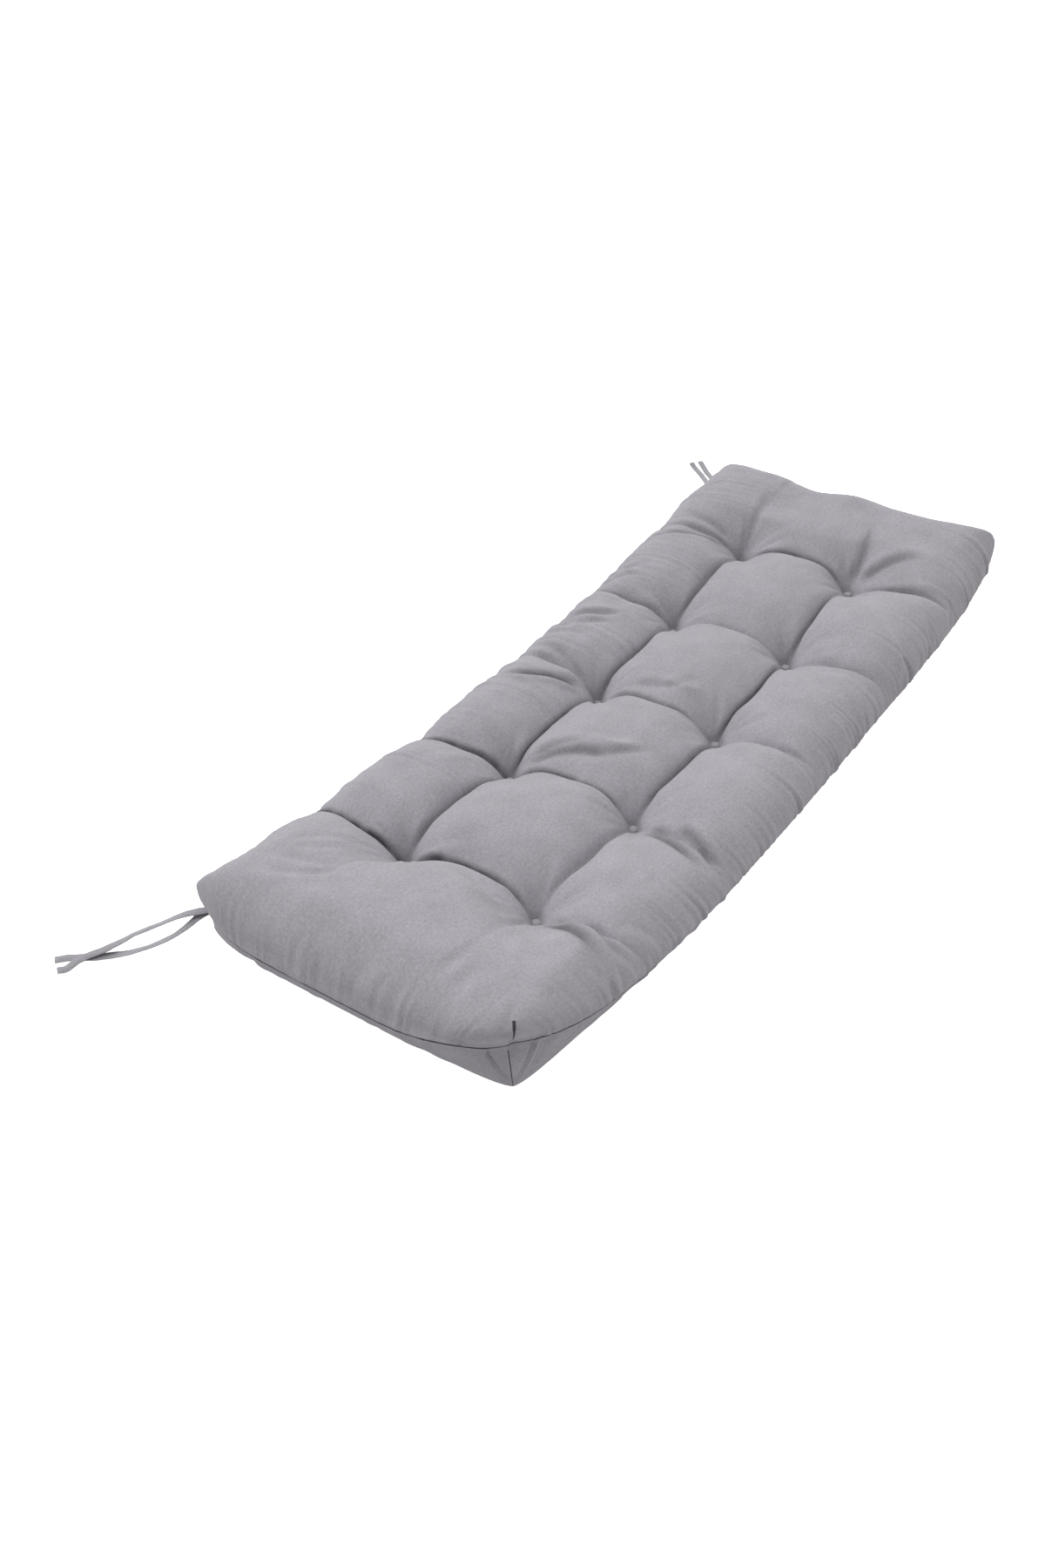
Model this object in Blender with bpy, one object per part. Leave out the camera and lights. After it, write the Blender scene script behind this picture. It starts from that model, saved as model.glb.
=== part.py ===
"""Tufted bench cushion with tie strips at its two back corners.

Metres, +Z up. X runs along the length, the end without a fold first, Y across, with the tie strips
at the back edge, +Y. The origin is on the floor under the middle of the cushion.
"""
from collections import namedtuple

import bpy
import numpy as np

# The seam that joins the top panel to the under panel, at half height
SEAM_LENGTH = 1.207
SEAM_WIDTH = 0.430
SEAM_HEIGHT = 0.045
NEAR_END_STRETCH = 0.004    # the near end pillows are this much longer than the far ones
SAG = 0.111                 # the ends stand up by this times the squared distance from the middle

# Fill above and below the seam
CROWN = 0.060
BELLY = 0.055
TOP_ROUND = 0.052           # how far the top's side roll reaches in from the seam
BELLY_ROUND = 0.041         # how far the underside's slanting flank reaches in
FLANK_CLOTH = 0.075         # cloth from the seam to the end of a side roll
SEAM_TUCK = 0.005           # the top roll bulges this far past the seam

# Tufting
TUFT_MIDDLE_X = 0.002       # the tuft pattern's middle, off the middle of the uneven outline
TUFT_MIDDLE_Y = 0.0063
TUFT_ROWS = 5
ROW_PITCH = 0.2006
TUFT_COLUMN = 0.0832        # each column's distance from the middle line
SEAT = 0.008                # half the flat spot that a button sits on
TUFT_DEPTH = 0.050
ROW_CREASE = 0.031
COLUMN_CREASE = 0.034
SIDE_CREASE = 0.016         # depth of a row crease where it runs out at a side
END_CREASE = 0.004          # depth of a column crease where it runs out at an end
PILLOW_REACH_X = 0.098      # distance over which a pillow rises from a crease
PILLOW_REACH_Y = 0.068
ROW_BOW = 0.010             # row creases bow toward the far end
UNDER_SHARE = 0.30          # underside creases, against the top's

# Fineness of the faceted surface
FLANK_STEPS = 6
END_STEPS = 5
SIDE_STEPS = 4
PILLOW_STEPS = 9

# Buttons
BUTTON_DIAMETER = 0.012
BUTTON_HEIGHT = 0.0045
BUTTON_SIDES = 14
CLEARANCE = 0.0003

# Tie strips: cloth folded to four layers
TIE_WIDTH = 0.010
TIE_THICKNESS = 0.0016
TIE_STATIONS = 44

Corner = namedtuple("Corner", "end side pull_x pull_y")
# How far each boxed corner is drawn in at the seam
CORNERS = (
    Corner(end=-1, side=-1, pull_x=0.045, pull_y=0.046),
    Corner(end=-1, side=+1, pull_x=0.0285, pull_y=0.019),
    Corner(end=+1, side=-1, pull_x=0.006, pull_y=0.008),
    Corner(end=+1, side=+1, pull_x=0.0135, pull_y=0.0215),
)

Edge = namedtuple("Edge", "along front back")
# Distance of the front and back seams from the middle line, from the near end to the far end
EDGES = (
    Edge(along=-0.604, front=0.205, back=0.221),
    Edge(along=-0.450, front=0.209, back=0.218),
    Edge(along=-0.300, front=0.215, back=0.212),
    Edge(along=-0.150, front=0.218, back=0.211),
    Edge(along=0.000, front=0.221, back=0.213),
    Edge(along=0.150, front=0.224, back=0.215),
    Edge(along=0.300, front=0.230, back=0.218),
    Edge(along=0.450, front=0.234, back=0.222),
    Edge(along=0.604, front=0.233, back=0.225),
)

Pillow = namedtuple("Pillow", "front middle back")
# Fill of each pillow over or under the crown, in metres, one row from the near end to the far end
PILLOWS = (
    Pillow(front=0.001, middle=0.003, back=-0.003),
    Pillow(front=-0.002, middle=0.002, back=0.001),
    Pillow(front=0.001, middle=-0.001, back=0.002),
    Pillow(front=-0.001, middle=0.002, back=-0.001),
    Pillow(front=0.002, middle=-0.002, back=0.001),
    Pillow(front=-0.004, middle=-0.005, back=0.001),
)

# Tie routes from the corner seam down to the floor, then along it
TIE_ROUTES = {
    "tie_near_upper": (
        (-0.5783, 0.2090, 0.0836), (-0.5860, 0.2163, 0.0833), (-0.5920, 0.2263, 0.0795),
        (-0.5960, 0.2383, 0.0715), (-0.5990, 0.2523, 0.0605), (-0.6010, 0.2673, 0.0485),
        (-0.6040, 0.2813, 0.0380), (-0.6070, 0.2953, 0.0270), (-0.6120, 0.3063, 0.0175),
        (-0.6190, 0.3163, 0.0105), (-0.6270, 0.3233, 0.0065), (-0.6350, 0.3293, 0.0046),
        (-0.6420, 0.3333, 0.0039), (-0.6520, 0.3373, 0.0035), (-0.6590, 0.3383, 0.0025),
        (-0.6670, 0.3403, 0.0012), (-0.6740, 0.3453, 0.0022)),
    "tie_near_lower": (
        (-0.5786, 0.2087, 0.0808), (-0.5870, 0.2123, 0.0790), (-0.5950, 0.2163, 0.0740),
        (-0.6020, 0.2233, 0.0665), (-0.6080, 0.2343, 0.0560), (-0.6130, 0.2483, 0.0450),
        (-0.6160, 0.2613, 0.0350), (-0.6170, 0.2743, 0.0250), (-0.6190, 0.2873, 0.0160),
        (-0.6210, 0.2993, 0.0085), (-0.6240, 0.3093, 0.0040), (-0.6300, 0.3193, 0.0016),
        (-0.6370, 0.3273, 0.0011), (-0.6430, 0.3363, 0.0011), (-0.6480, 0.3433, 0.0011),
        (-0.6540, 0.3513, 0.0011), (-0.6640, 0.3603, 0.0012)),
    "tie_far_upper": (
        (0.5933, 0.2099, 0.0850), (0.6040, 0.2193, 0.0845), (0.6180, 0.2293, 0.0790),
        (0.6320, 0.2383, 0.0710), (0.6470, 0.2483, 0.0610), (0.6620, 0.2583, 0.0500),
        (0.6770, 0.2693, 0.0390), (0.6920, 0.2793, 0.0290), (0.7070, 0.2903, 0.0200),
        (0.7230, 0.2993, 0.0125), (0.7380, 0.3093, 0.0075), (0.7520, 0.3203, 0.0042),
        (0.7670, 0.3333, 0.0020), (0.7810, 0.3483, 0.0018), (0.7910, 0.3623, 0.0035),
        (0.7970, 0.3723, 0.0080)),
    "tie_far_lower": (
        (0.5934, 0.2097, 0.0822), (0.6060, 0.2163, 0.0805), (0.6210, 0.2223, 0.0765),
        (0.6380, 0.2283, 0.0690), (0.6550, 0.2353, 0.0590), (0.6720, 0.2433, 0.0480),
        (0.6890, 0.2533, 0.0370), (0.7060, 0.2643, 0.0270), (0.7230, 0.2763, 0.0180),
        (0.7400, 0.2903, 0.0110), (0.7570, 0.3053, 0.0055), (0.7750, 0.3223, 0.0022),
        (0.7880, 0.3363, 0.0016), (0.8000, 0.3483, 0.0026), (0.8135, 0.3640, 0.0065)),
}

HALF_LENGTH = SEAM_LENGTH / 2
HALF_WIDTH = SEAM_WIDTH / 2
LAST_ROW = ROW_PITCH * (TUFT_ROWS - 1) / 2


def clear_scene():
    for item in list(bpy.data.objects):
        bpy.data.objects.remove(item, do_unlink=True)


def fabric(name, colour, roughness):
    """A matt cloth finish."""
    material = bpy.data.materials.new(name)
    material.use_nodes = True
    shader = material.node_tree.nodes["Principled BSDF"]
    shader.inputs["Base Color"].default_value = (*colour, 1.0)
    shader.inputs["Roughness"].default_value = roughness
    shader.inputs["Metallic"].default_value = 0.0
    return material


def add_object(name, points, faces, material, smooth_angle):
    mesh = bpy.data.meshes.new(name)
    mesh.from_pydata([tuple(p) for p in points], [], faces)
    mesh.materials.append(material)
    mesh.shade_smooth()
    mesh.set_sharp_from_angle(angle=np.radians(smooth_angle))
    mesh.update()
    item = bpy.data.objects.new(name, mesh)
    bpy.context.collection.objects.link(item)
    return item


def cloth_lines(half_size, first_tuft, tuft_count, pitch, plateau_steps):
    """Distances of the grid lines from one edge seam to the other, measured along the cloth.

    Each edge has its side roll, then the flat run up to the tuft's flat spot, and each pillow
    between two tufts is divided evenly.
    """
    tuft_cloth = FLANK_CLOTH + (half_size - first_tuft) - TOP_ROUND
    flank = np.linspace(0, FLANK_CLOTH, FLANK_STEPS + 1)
    plateau = np.linspace(FLANK_CLOTH, tuft_cloth - SEAT, plateau_steps + 1)[1:]
    edge = np.concatenate([flank, plateau])
    inner = [tuft_cloth + i * pitch + np.array([-SEAT, 0, SEAT]) for i in range(tuft_count)]
    runs = [edge]
    for i, seat in enumerate(inner):
        if i:
            runs.append(np.linspace(inner[i - 1][-1], seat[0], PILLOW_STEPS + 1)[1:])
        runs.append(seat[1:])
    total = 2 * tuft_cloth + (tuft_count - 1) * pitch
    runs.append(total - edge[::-1][1:])
    return np.concatenate(runs), tuft_cloth, total


def inset(cloth, tuft_cloth, tuft_inset, reach):
    """Distance in from the seam line: the flank, then straight to the tuft, and past the tuft as
    far as along the cloth. The top's flank is a quarter round, and the underside's a slant."""
    flank = np.clip(cloth / FLANK_CLOTH, 0, 1)
    share = 1 - np.cos(flank * np.pi / 2) if reach == TOP_ROUND else flank
    slope = (tuft_inset - reach) / (tuft_cloth - FLANK_CLOTH)
    run = slope * np.clip(cloth - FLANK_CLOTH, 0, tuft_cloth - FLANK_CLOTH)
    return reach * share + run + np.maximum(cloth - tuft_cloth, 0)


def flat_place(lines, tuft_cloth, total, half_size, first_tuft, reach):
    """Signed place of each grid line before the corners are drawn in."""
    near = np.minimum(lines, total - lines)
    side = np.where(lines < total / 2, -1.0, 1.0)
    return side * (half_size - inset(near, tuft_cloth, half_size - first_tuft, reach)), near


def corner_pull(x, y, keep):
    """Draws the four corners in, each by its own amount and fading quickly along both edges."""
    along = np.clip(np.abs(x) / HALF_LENGTH, 0, 1)
    across = np.clip(np.abs(y) / HALF_WIDTH, 0, 1)
    shift_x = np.zeros_like(x)
    shift_y = np.zeros_like(y)
    for corner in CORNERS:
        here = (np.sign(x) == corner.end) & (np.sign(y) == corner.side)
        shift_x -= here * corner.end * corner.pull_x * keep * across ** 5 * along ** 4
        shift_y -= here * corner.side * corner.pull_y * keep * along ** 9 * across ** 2
    return x + shift_x, y + shift_y


def edge_line(x, y):
    """Widens or narrows the side pillows so that the side seams follow the table of edges."""
    curve = smooth_route(EDGES, 80)
    front = np.interp(x, curve[:, 0], curve[:, 1])
    back = np.interp(x, curve[:, 0], curve[:, 2])
    beyond = np.maximum(np.abs(y) - TUFT_COLUMN, 0) / (HALF_WIDTH - TUFT_COLUMN)
    return y + np.sign(y) * beyond * (np.where(y < 0, front, back) - HALF_WIDTH)


def end_line(x):
    """Stretches the near end pillows past their last tufts."""
    beyond = np.maximum(-x - LAST_ROW, 0) / (HALF_LENGTH - LAST_ROW)
    return x - beyond * NEAR_END_STRETCH


def pillow_arch(distance, reach):
    """1 on a crease, falling to 0 over the reach, round on top and steep at the crease."""
    part = np.clip(distance / reach, 0, 1)
    return 1 - np.sqrt(1 - (1 - part) ** 2)


def creases(x, y):
    """Depth of the tufted pattern: row and column creases that deepen into the tufts."""
    row = np.clip(np.round(x / ROW_PITCH), -(TUFT_ROWS // 2), TUFT_ROWS // 2) * ROW_PITCH
    from_row = np.abs(x - row)
    from_column = np.abs(np.abs(y) - TUFT_COLUMN)
    outside = np.clip((np.abs(y) - TUFT_COLUMN) / (HALF_WIDTH - TUFT_COLUMN), 0, 1)
    beyond = np.clip((np.abs(x) - LAST_ROW) / (HALF_LENGTH - LAST_ROW), 0, 1)
    row_depth = ROW_CREASE + (SIDE_CREASE - ROW_CREASE) * outside
    row_depth += (TUFT_DEPTH - ROW_CREASE) * np.exp(-from_column / 0.018)
    column_depth = np.where(beyond > 0, END_CREASE, COLUMN_CREASE)
    column_depth = column_depth + (TUFT_DEPTH - column_depth) * np.exp(-from_row / 0.022)
    by_row = row_depth * pillow_arch(from_row, PILLOW_REACH_X)
    by_column = column_depth * pillow_arch(from_column, PILLOW_REACH_Y)
    joined = (by_row ** 3 + by_column ** 3) ** (1 / 3)
    on_seat = (from_row < SEAT * 1.01) & (from_column < SEAT * 1.01)
    return np.where(on_seat, TUFT_DEPTH, np.minimum(joined, TUFT_DEPTH))


def pillow_fill(x, y):
    """Each pillow's own fill, zero on its creases."""
    fill = np.array([[p.front, p.middle, p.back] for p in PILLOWS])
    row = np.clip(np.floor(x / ROW_PITCH) + 3, 0, TUFT_ROWS).astype(int)
    column = np.where(y < -TUFT_COLUMN, 0, np.where(y > TUFT_COLUMN, 2, 1))
    mound = (1 - pillow_arch(np.abs((x / ROW_PITCH + 0.5) % 1 - 0.5) * ROW_PITCH, PILLOW_REACH_X))
    mound = mound * (1 - pillow_arch(np.abs(np.abs(y) - TUFT_COLUMN), PILLOW_REACH_Y))
    return fill[row, column] * mound


def sag(x):
    """Rise of the cushion toward its ends."""
    return SAG * x ** 2


def seat_level(x, y, z):
    """Makes the flat spot under a button level, at the height of its tuft."""
    row = np.clip(np.round(x / ROW_PITCH), -(TUFT_ROWS // 2), TUFT_ROWS // 2) * ROW_PITCH
    on_seat = (np.abs(x - row) < SEAT * 1.01) & (np.abs(np.abs(y) - TUFT_COLUMN) < SEAT * 1.01)
    return np.where(on_seat, tuft_height(row), z)


def tuft_height(x):
    return SEAM_HEIGHT + CROWN - TUFT_DEPTH + sag(x)


def bowed(x, y):
    """Row creases bow toward the far end between their tufts, and the far edge stays straight."""
    inside = np.clip(1 - (y / TUFT_COLUMN) ** 2, 0, 1)
    fade = np.clip(1 - (np.abs(x) / LAST_ROW) ** 8, 0, 1)
    return x + ROW_BOW * inside * fade


def panel(across_lines, along_lines, top):
    """Points of the top or the under panel on the shared grid, rows along X."""
    reach = TOP_ROUND if top else BELLY_ROUND
    along, along_tuft, along_total = along_lines
    across, across_tuft, across_total = across_lines
    x_line, x_near = flat_place(along, along_tuft, along_total, HALF_LENGTH, LAST_ROW, reach)
    y_line, y_near = flat_place(across, across_tuft, across_total, HALF_WIDTH, TUFT_COLUMN, reach)
    x, y = np.meshgrid(x_line, y_line, indexing="ij")
    flank = np.clip(np.minimum.outer(x_near, y_near) / FLANK_CLOTH, 0, 1)
    rise = np.sin(flank * np.pi / 2) if top else flank * (1.15 - 0.15 * flank)
    pattern = creases(x, y)
    long_x = end_line(bowed(x, y) if top else x)
    plan_x, plan_y = corner_pull(long_x, edge_line(x, y), 1 - 0.75 * rise)
    if top:
        height = SEAM_HEIGHT + rise * (CROWN + pillow_fill(x, y) - pattern) + sag(plan_x)
        height = seat_level(x, y, height)
        bulge = SEAM_TUCK * np.sin(flank * np.pi)
        on_x = x / HALF_LENGTH
        on_y = y / HALF_WIDTH
        plan_x = plan_x + bulge * on_x ** 7 * (1 - on_y ** 6)
        plan_y = plan_y + bulge * on_y ** 5 * (1 - on_x ** 10)
    else:
        height = SEAM_HEIGHT - rise * (BELLY - UNDER_SHARE * pattern) + sag(plan_x)
        height = np.maximum(height, 0.0)
    return np.stack([plan_x, plan_y, height], axis=-1)


def grid_faces(index, turn):
    """Quads over a grid of point numbers, in one turning direction.

    The four corner quads are cut in two from the panel's corner, where its upright seam runs.
    """
    corners = [index[:-1, :-1], index[1:, :-1], index[1:, 1:], index[:-1, 1:]]
    quads = np.stack(corners, axis=-1)
    faces = []
    for i in (0, -1):
        for j in (0, -1):
            a, b, c, d = quads[i, j].tolist()
            faces += [(a, b, c), (a, c, d)] if i == j else [(b, c, d), (b, d, a)]
    whole = np.ones(quads.shape[:2], dtype=bool)
    whole[[0, 0, -1, -1], [0, -1, 0, -1]] = False
    faces += [tuple(quad) for quad in quads[whole].tolist()]
    return [face[::-1] for face in faces] if turn else faces


def cushion_body(material):
    along = cloth_lines(HALF_LENGTH, LAST_ROW, TUFT_ROWS, ROW_PITCH, END_STEPS)
    across = cloth_lines(HALF_WIDTH, TUFT_COLUMN, 2, 2 * TUFT_COLUMN, SIDE_STEPS)
    top = panel(across, along, top=True)
    under = panel(across, along, top=False)
    rows, columns = top.shape[:2]
    top_index = np.arange(rows * columns).reshape(rows, columns)
    under_index = top_index.copy()
    inner = (rows - 2) * (columns - 2)
    under_index[1:-1, 1:-1] = rows * columns + np.arange(inner).reshape(rows - 2, columns - 2)
    points = np.concatenate([top.reshape(-1, 3), under[1:-1, 1:-1].reshape(-1, 3)])
    points = points + (TUFT_MIDDLE_X, TUFT_MIDDLE_Y, 0)
    faces = grid_faces(top_index, False) + grid_faces(under_index, True)
    return add_object("cushion_body", points, faces, material, 60)


def button(name, place, material):
    """A low dome turned about Z: flat underneath, round at the rim."""
    radius = BUTTON_DIAMETER / 2
    share_out = np.array([0.0, 0.80, 1.0, 0.94, 0.72, 0.40, 0.0])
    share_up = np.array([0.0, 0.0, 0.30, 0.62, 0.86, 0.97, 1.0])
    angle = np.arange(BUTTON_SIDES) * 2 * np.pi / BUTTON_SIDES
    ring = np.stack([np.cos(angle), np.sin(angle)], axis=-1)
    points = [np.array([[0.0, 0.0, 0.0]])]
    for out, up in zip(share_out[1:-1], share_up[1:-1]):
        level = np.full((BUTTON_SIDES, 1), up * BUTTON_HEIGHT)
        points.append(np.hstack([ring * radius * out, level]))
    points.append(np.array([[0.0, 0.0, BUTTON_HEIGHT]]))
    points = np.concatenate(points) + np.array(place)
    last = len(points) - 1
    faces = []
    for i in range(BUTTON_SIDES):
        j = (i + 1) % BUTTON_SIDES
        faces.append((0, 1 + j, 1 + i))
        for k in range(len(share_out) - 3):
            low = 1 + k * BUTTON_SIDES
            high = low + BUTTON_SIDES
            faces.append((low + i, low + j, high + j, high + i))
        top = last - BUTTON_SIDES
        faces.append((top + i, top + j, last))
    return add_object(name, points, faces, material, 50)


def smooth_route(route, count):
    """Even stations along a curve that passes smoothly through the route's points."""
    knots = np.array(route)
    knots = np.vstack([2 * knots[0] - knots[1], knots, 2 * knots[-1] - knots[-2]])
    t = np.linspace(0, 1, 12, endpoint=False)[:, None]
    fine = []
    for a, b, c, d in zip(knots[:-3], knots[1:-2], knots[2:-1], knots[3:]):
        bend = 2 * a - 5 * b + 4 * c - d
        fine.append(0.5 * (2 * b + (c - a) * t + bend * t ** 2 + (3 * b - a - 3 * c + d) * t ** 3))
    fine = np.vstack(fine + [knots[-2:-1]])
    run = np.concatenate([[0], np.cumsum(np.linalg.norm(np.diff(fine, axis=0), axis=1))])
    even = np.linspace(0, run[-1], count)
    return np.stack([np.interp(even, run, fine[:, k]) for k in range(3)], axis=-1)


def tie_strip(name, route, material):
    """A flat strip carried along the route, its width level, with slightly rounded edges."""
    path = smooth_route(route, TIE_STATIONS)
    ahead = np.gradient(path, axis=0)
    ahead /= np.linalg.norm(ahead, axis=1, keepdims=True)
    side = np.cross(ahead, (0, 0, 1))
    side /= np.linalg.norm(side, axis=1, keepdims=True)
    up = np.cross(side, ahead)
    across = np.array([-0.5, -0.42, 0.42, 0.5, 0.42, -0.42]) * TIE_WIDTH
    above = np.array([0.0, -0.5, -0.5, 0.0, 0.5, 0.5]) * TIE_THICKNESS
    points = path[:, None] + across[None, :, None] * side[:, None] + above[None, :, None] * up[:, None]
    points = points.reshape(-1, 3)
    count = len(across)
    faces = [tuple(range(count)), tuple(len(points) - 1 - i for i in range(count))]
    for s in range(len(path) - 1):
        for i in range(count):
            j = (i + 1) % count
            faces.append((s * count + j, s * count + i, (s + 1) * count + i, (s + 1) * count + j))
    return add_object(name, points, faces, material, 50)


def build():
    clear_scene()
    cloth = fabric("grey_cloth", (0.352, 0.342, 0.372), 0.92)
    button_cloth = fabric("button_cloth", (0.335, 0.325, 0.355), 0.92)
    tie_cloth = fabric("tie_cloth", (0.330, 0.322, 0.350), 0.92)
    cushion_body(cloth)
    number = 1
    for side in (+1, -1):
        for row in range(TUFT_ROWS):
            x = -LAST_ROW + row * ROW_PITCH
            height = tuft_height(x) + CLEARANCE
            place = (TUFT_MIDDLE_X + x, TUFT_MIDDLE_Y + side * TUFT_COLUMN, height)
            button("tuft_button_%d" % number, place, button_cloth)
            number += 1
    for name, route in TIE_ROUTES.items():
        tie_strip(name, route, tie_cloth)


build()
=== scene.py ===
"""Looks of a tufted bench cushion: its filled cloth, creases, wrinkles, seam, tufts and tie strips.

Metres, in the frame's own axes. X runs along the length, with the end nearest the camera at -X,
Y runs across, with the tie strips at +Y, and the floor is at Z = 0.
"""
from collections import namedtuple

import bpy
import numpy as np
from mathutils import Matrix, Vector


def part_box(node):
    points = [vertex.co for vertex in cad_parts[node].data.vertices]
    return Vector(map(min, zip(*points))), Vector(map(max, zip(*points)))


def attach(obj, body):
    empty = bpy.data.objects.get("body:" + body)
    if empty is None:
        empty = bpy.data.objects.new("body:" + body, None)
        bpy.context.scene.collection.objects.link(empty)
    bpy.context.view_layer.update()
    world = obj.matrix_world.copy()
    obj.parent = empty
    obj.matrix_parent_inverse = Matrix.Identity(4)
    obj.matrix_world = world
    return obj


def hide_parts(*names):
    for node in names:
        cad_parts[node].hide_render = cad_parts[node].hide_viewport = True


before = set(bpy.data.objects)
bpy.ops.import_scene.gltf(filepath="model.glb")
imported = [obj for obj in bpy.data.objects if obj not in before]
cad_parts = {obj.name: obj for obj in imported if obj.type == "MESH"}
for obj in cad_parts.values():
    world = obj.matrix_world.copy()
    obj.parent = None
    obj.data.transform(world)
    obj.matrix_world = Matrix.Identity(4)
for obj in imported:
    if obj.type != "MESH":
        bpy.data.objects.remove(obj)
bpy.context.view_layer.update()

# Camera, in the photograph's frame
IMAGE_SIZE = (1200, 1800)
FOCAL_PIXELS = 1613.6
SENSOR = 36.0
CAMERA_PLACE = (-1.2873, -0.6413, 1.0563)
CAMERA_PITCH = 37.407       # degrees below the horizon
CAMERA_YAW = 56.763         # degrees from +Y toward +X
CAMERA_ROLL = 0.130

# Studio light
ROUND_LIGHT = 0.41          # strength of the even light from all round
KEY_STRENGTH = 2.50
KEY_FROM = (-0.02, 0.72, 0.80)
FILL_STRENGTH = 1.2
FILL_FROM = (0.75, -0.55, 0.50)
LAMP_SOFTNESS = 60.0        # degrees across
LAMP_COLOUR = (1.0, 0.995, 0.985)
FLOOR_REACH = 24.0
FLOOR_GAP = 0.0002
FLOOR_SHADE = 0.74
PAPER_LIFT = 1.00           # added glow of the paper as the camera sees it

# Cloth
CUSHION_COLOUR = (0.332, 0.317, 0.352)
BUTTON_COLOUR = (0.335, 0.325, 0.355)
TIE_COLOUR = (0.330, 0.322, 0.350)
# near-black sewn lines: partly the seam itself, partly painted shade of its groove
SEAM_SHADE_COLOUR = (0.045, 0.040, 0.052)
PAINTED_CREASE_SHADE = (0.05, 0.045, 0.055)    # painted shade: what a closed crease leaves of the cloth's colour
THREAD_PITCH = 0.0007
WEAVE_RELIEF = 0.0002
CRUMPLE_HEIGHT = 0.0010
SEAM_LINE = 0.0010
SLUB_WAVES = (120, 1150)    # waves a metre of the slubs, along their thread and across it
FINE_MOTTLE = (330.0, 2.0, 0.6)     # waves a metre, detail and roughness of each noise
BROAD_MOTTLE = (26.0, 3.0, 0.55)
# unevenness of that painted seam shade along the seams: waves a metre and detail
SEAM_VARIES = (14.0, 2.0)
CRUMPLES = (((22, 48, 1), 0.0), ((20, 60, 1), 0.9))     # waves a metre each way, and their turn

# The seam that joins the top panel to the under panel
SEAM_LENGTH = 1.207
SEAM_WIDTH = 0.430
SEAM_HEIGHT = 0.045
NEAR_END_STRETCH = 0.004
SAG = 0.111                 # rise toward the ends, over the square of the distance
HALF_LENGTH = SEAM_LENGTH / 2
HALF_WIDTH = SEAM_WIDTH / 2
ACROSS_STOPS = (-HALF_WIDTH, -0.15, 0.0, 0.14, HALF_WIDTH)    # where the row tables' values hold

# Fill above and below the seam
CROWN = 0.060
BELLY = 0.055
TOP_ROUND = 0.052
BELLY_ROUND = 0.041
FLANK_CLOTH = 0.075
SEAM_TUCK = 0.005
NEAR_BULGE = 0.004          # how far the underside swells past the near seam
FRONT_BULGE = 0.001         # and past the front seam

# Tufting
TUFT_MIDDLE = (0.002, 0.0063, 0.0)
ROWS = range(-2, 3)         # the tuft rows, near end first, counted from the middle one
ROW_PITCH = 0.2006
LAST_ROW = 2 * ROW_PITCH
TUFT_COLUMN = 0.0832
TUFT_DEPTH = 0.050
UNDER_SHARE = 0.30          # what the underside shows of the top's pits and creases
DART_UNDER = 0.075          # cloth along the sewn corner darts below the seam
SEAT = 0.002                # radius of the level spot under a button
BACK_PIT = 0.092            # reach of the pits
FRONT_PIT = 0.110
PIT_SPREAD = 0.062          # how much further they run out toward the near front
NEAR_FRONT = (0.84, 0.55)   # that direction, along -X and -Y
FAR_DIP = 0.003             # depth of the column creases at the far end seam
ROW_REACH = 0.075           # reach of the creases' slopes
COLUMN_REACH = 0.068
MOUND_REACH = 0.098

# Closed creases
PINCH_SHARE = 0.84
PINCH_WIDTH = 0.013
PINCH_CLEAR = 0.022         # the creases stay open this near to a tuft
MARK_WIDTH = 0.0042         # half width of an open crease's line of painted shade
MARK_MORE = 0.0036          # what a fully closed one adds
MARK_DEPTH = 0.018          # creases from this depth on get their full painted shade
PIT_SHADE = 0.35            # painted shade of the pits
PIT_FROM = 0.80             # from this share of their depth down
PIT_SPAN = 0.20
# painted shade of the column creases' closed lines
COLUMN_SHADE = 0.55
ROW_SEED = 80
COLUMN_SEED = 90

Stretches = namedtuple("Stretches", "front middle back")
# Painted shade of each row's closed lines, near end first
ROW_SHADES = (
    Stretches(front=0.6, middle=0.85, back=1.0),
    Stretches(front=0.6, middle=0.60, back=0.9),
    Stretches(front=0.5, middle=0.60, back=0.6),
    Stretches(front=0.5, middle=0.50, back=0.6),
    Stretches(front=0.5, middle=0.60, back=0.5),
)

# Fineness of the settled cloth. Its lines are halved once afterwards.
EDGE_CELLS_ALONG = 39
ROW_CELLS = 35
EDGE_CELLS_ACROSS = 27
COLUMN_CELLS = 29

# Settling: the cloth it adds to the panel, its length, and how far a point may move
SPARE_CLOTH = 1.06
SETTLE_FRAMES = 36
MOST_MOVE = 0.006
HOLD_STEPS = 10
TUFT_HOLD = 0.96            # the cloth is held fast from this share of a tuft's depth down
CREASE_HOLD = 0.8           # and elsewhere in the creases by this share of theirs
MARK_HOLD = 2               # closed creases hold it fast from half of their painted shade on
SETTLING = {
    "quality": 5,
    "mass": 0.3,
    "air_damping": 1.0,
    "bending_model": "LINEAR",
    "tension_stiffness": 15.0,
    "compression_stiffness": 15.0,
    "shear_stiffness": 5.0,
    "bending_stiffness": 0.08,
    "use_pressure": True,
    "uniform_pressure_force": 4.0,
    "vertex_group_mass": "held",
    "pin_stiffness": 1.0,
}

Corner = namedtuple("Corner", "end side pull_x pull_y lift crisp box dart slit")
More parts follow.
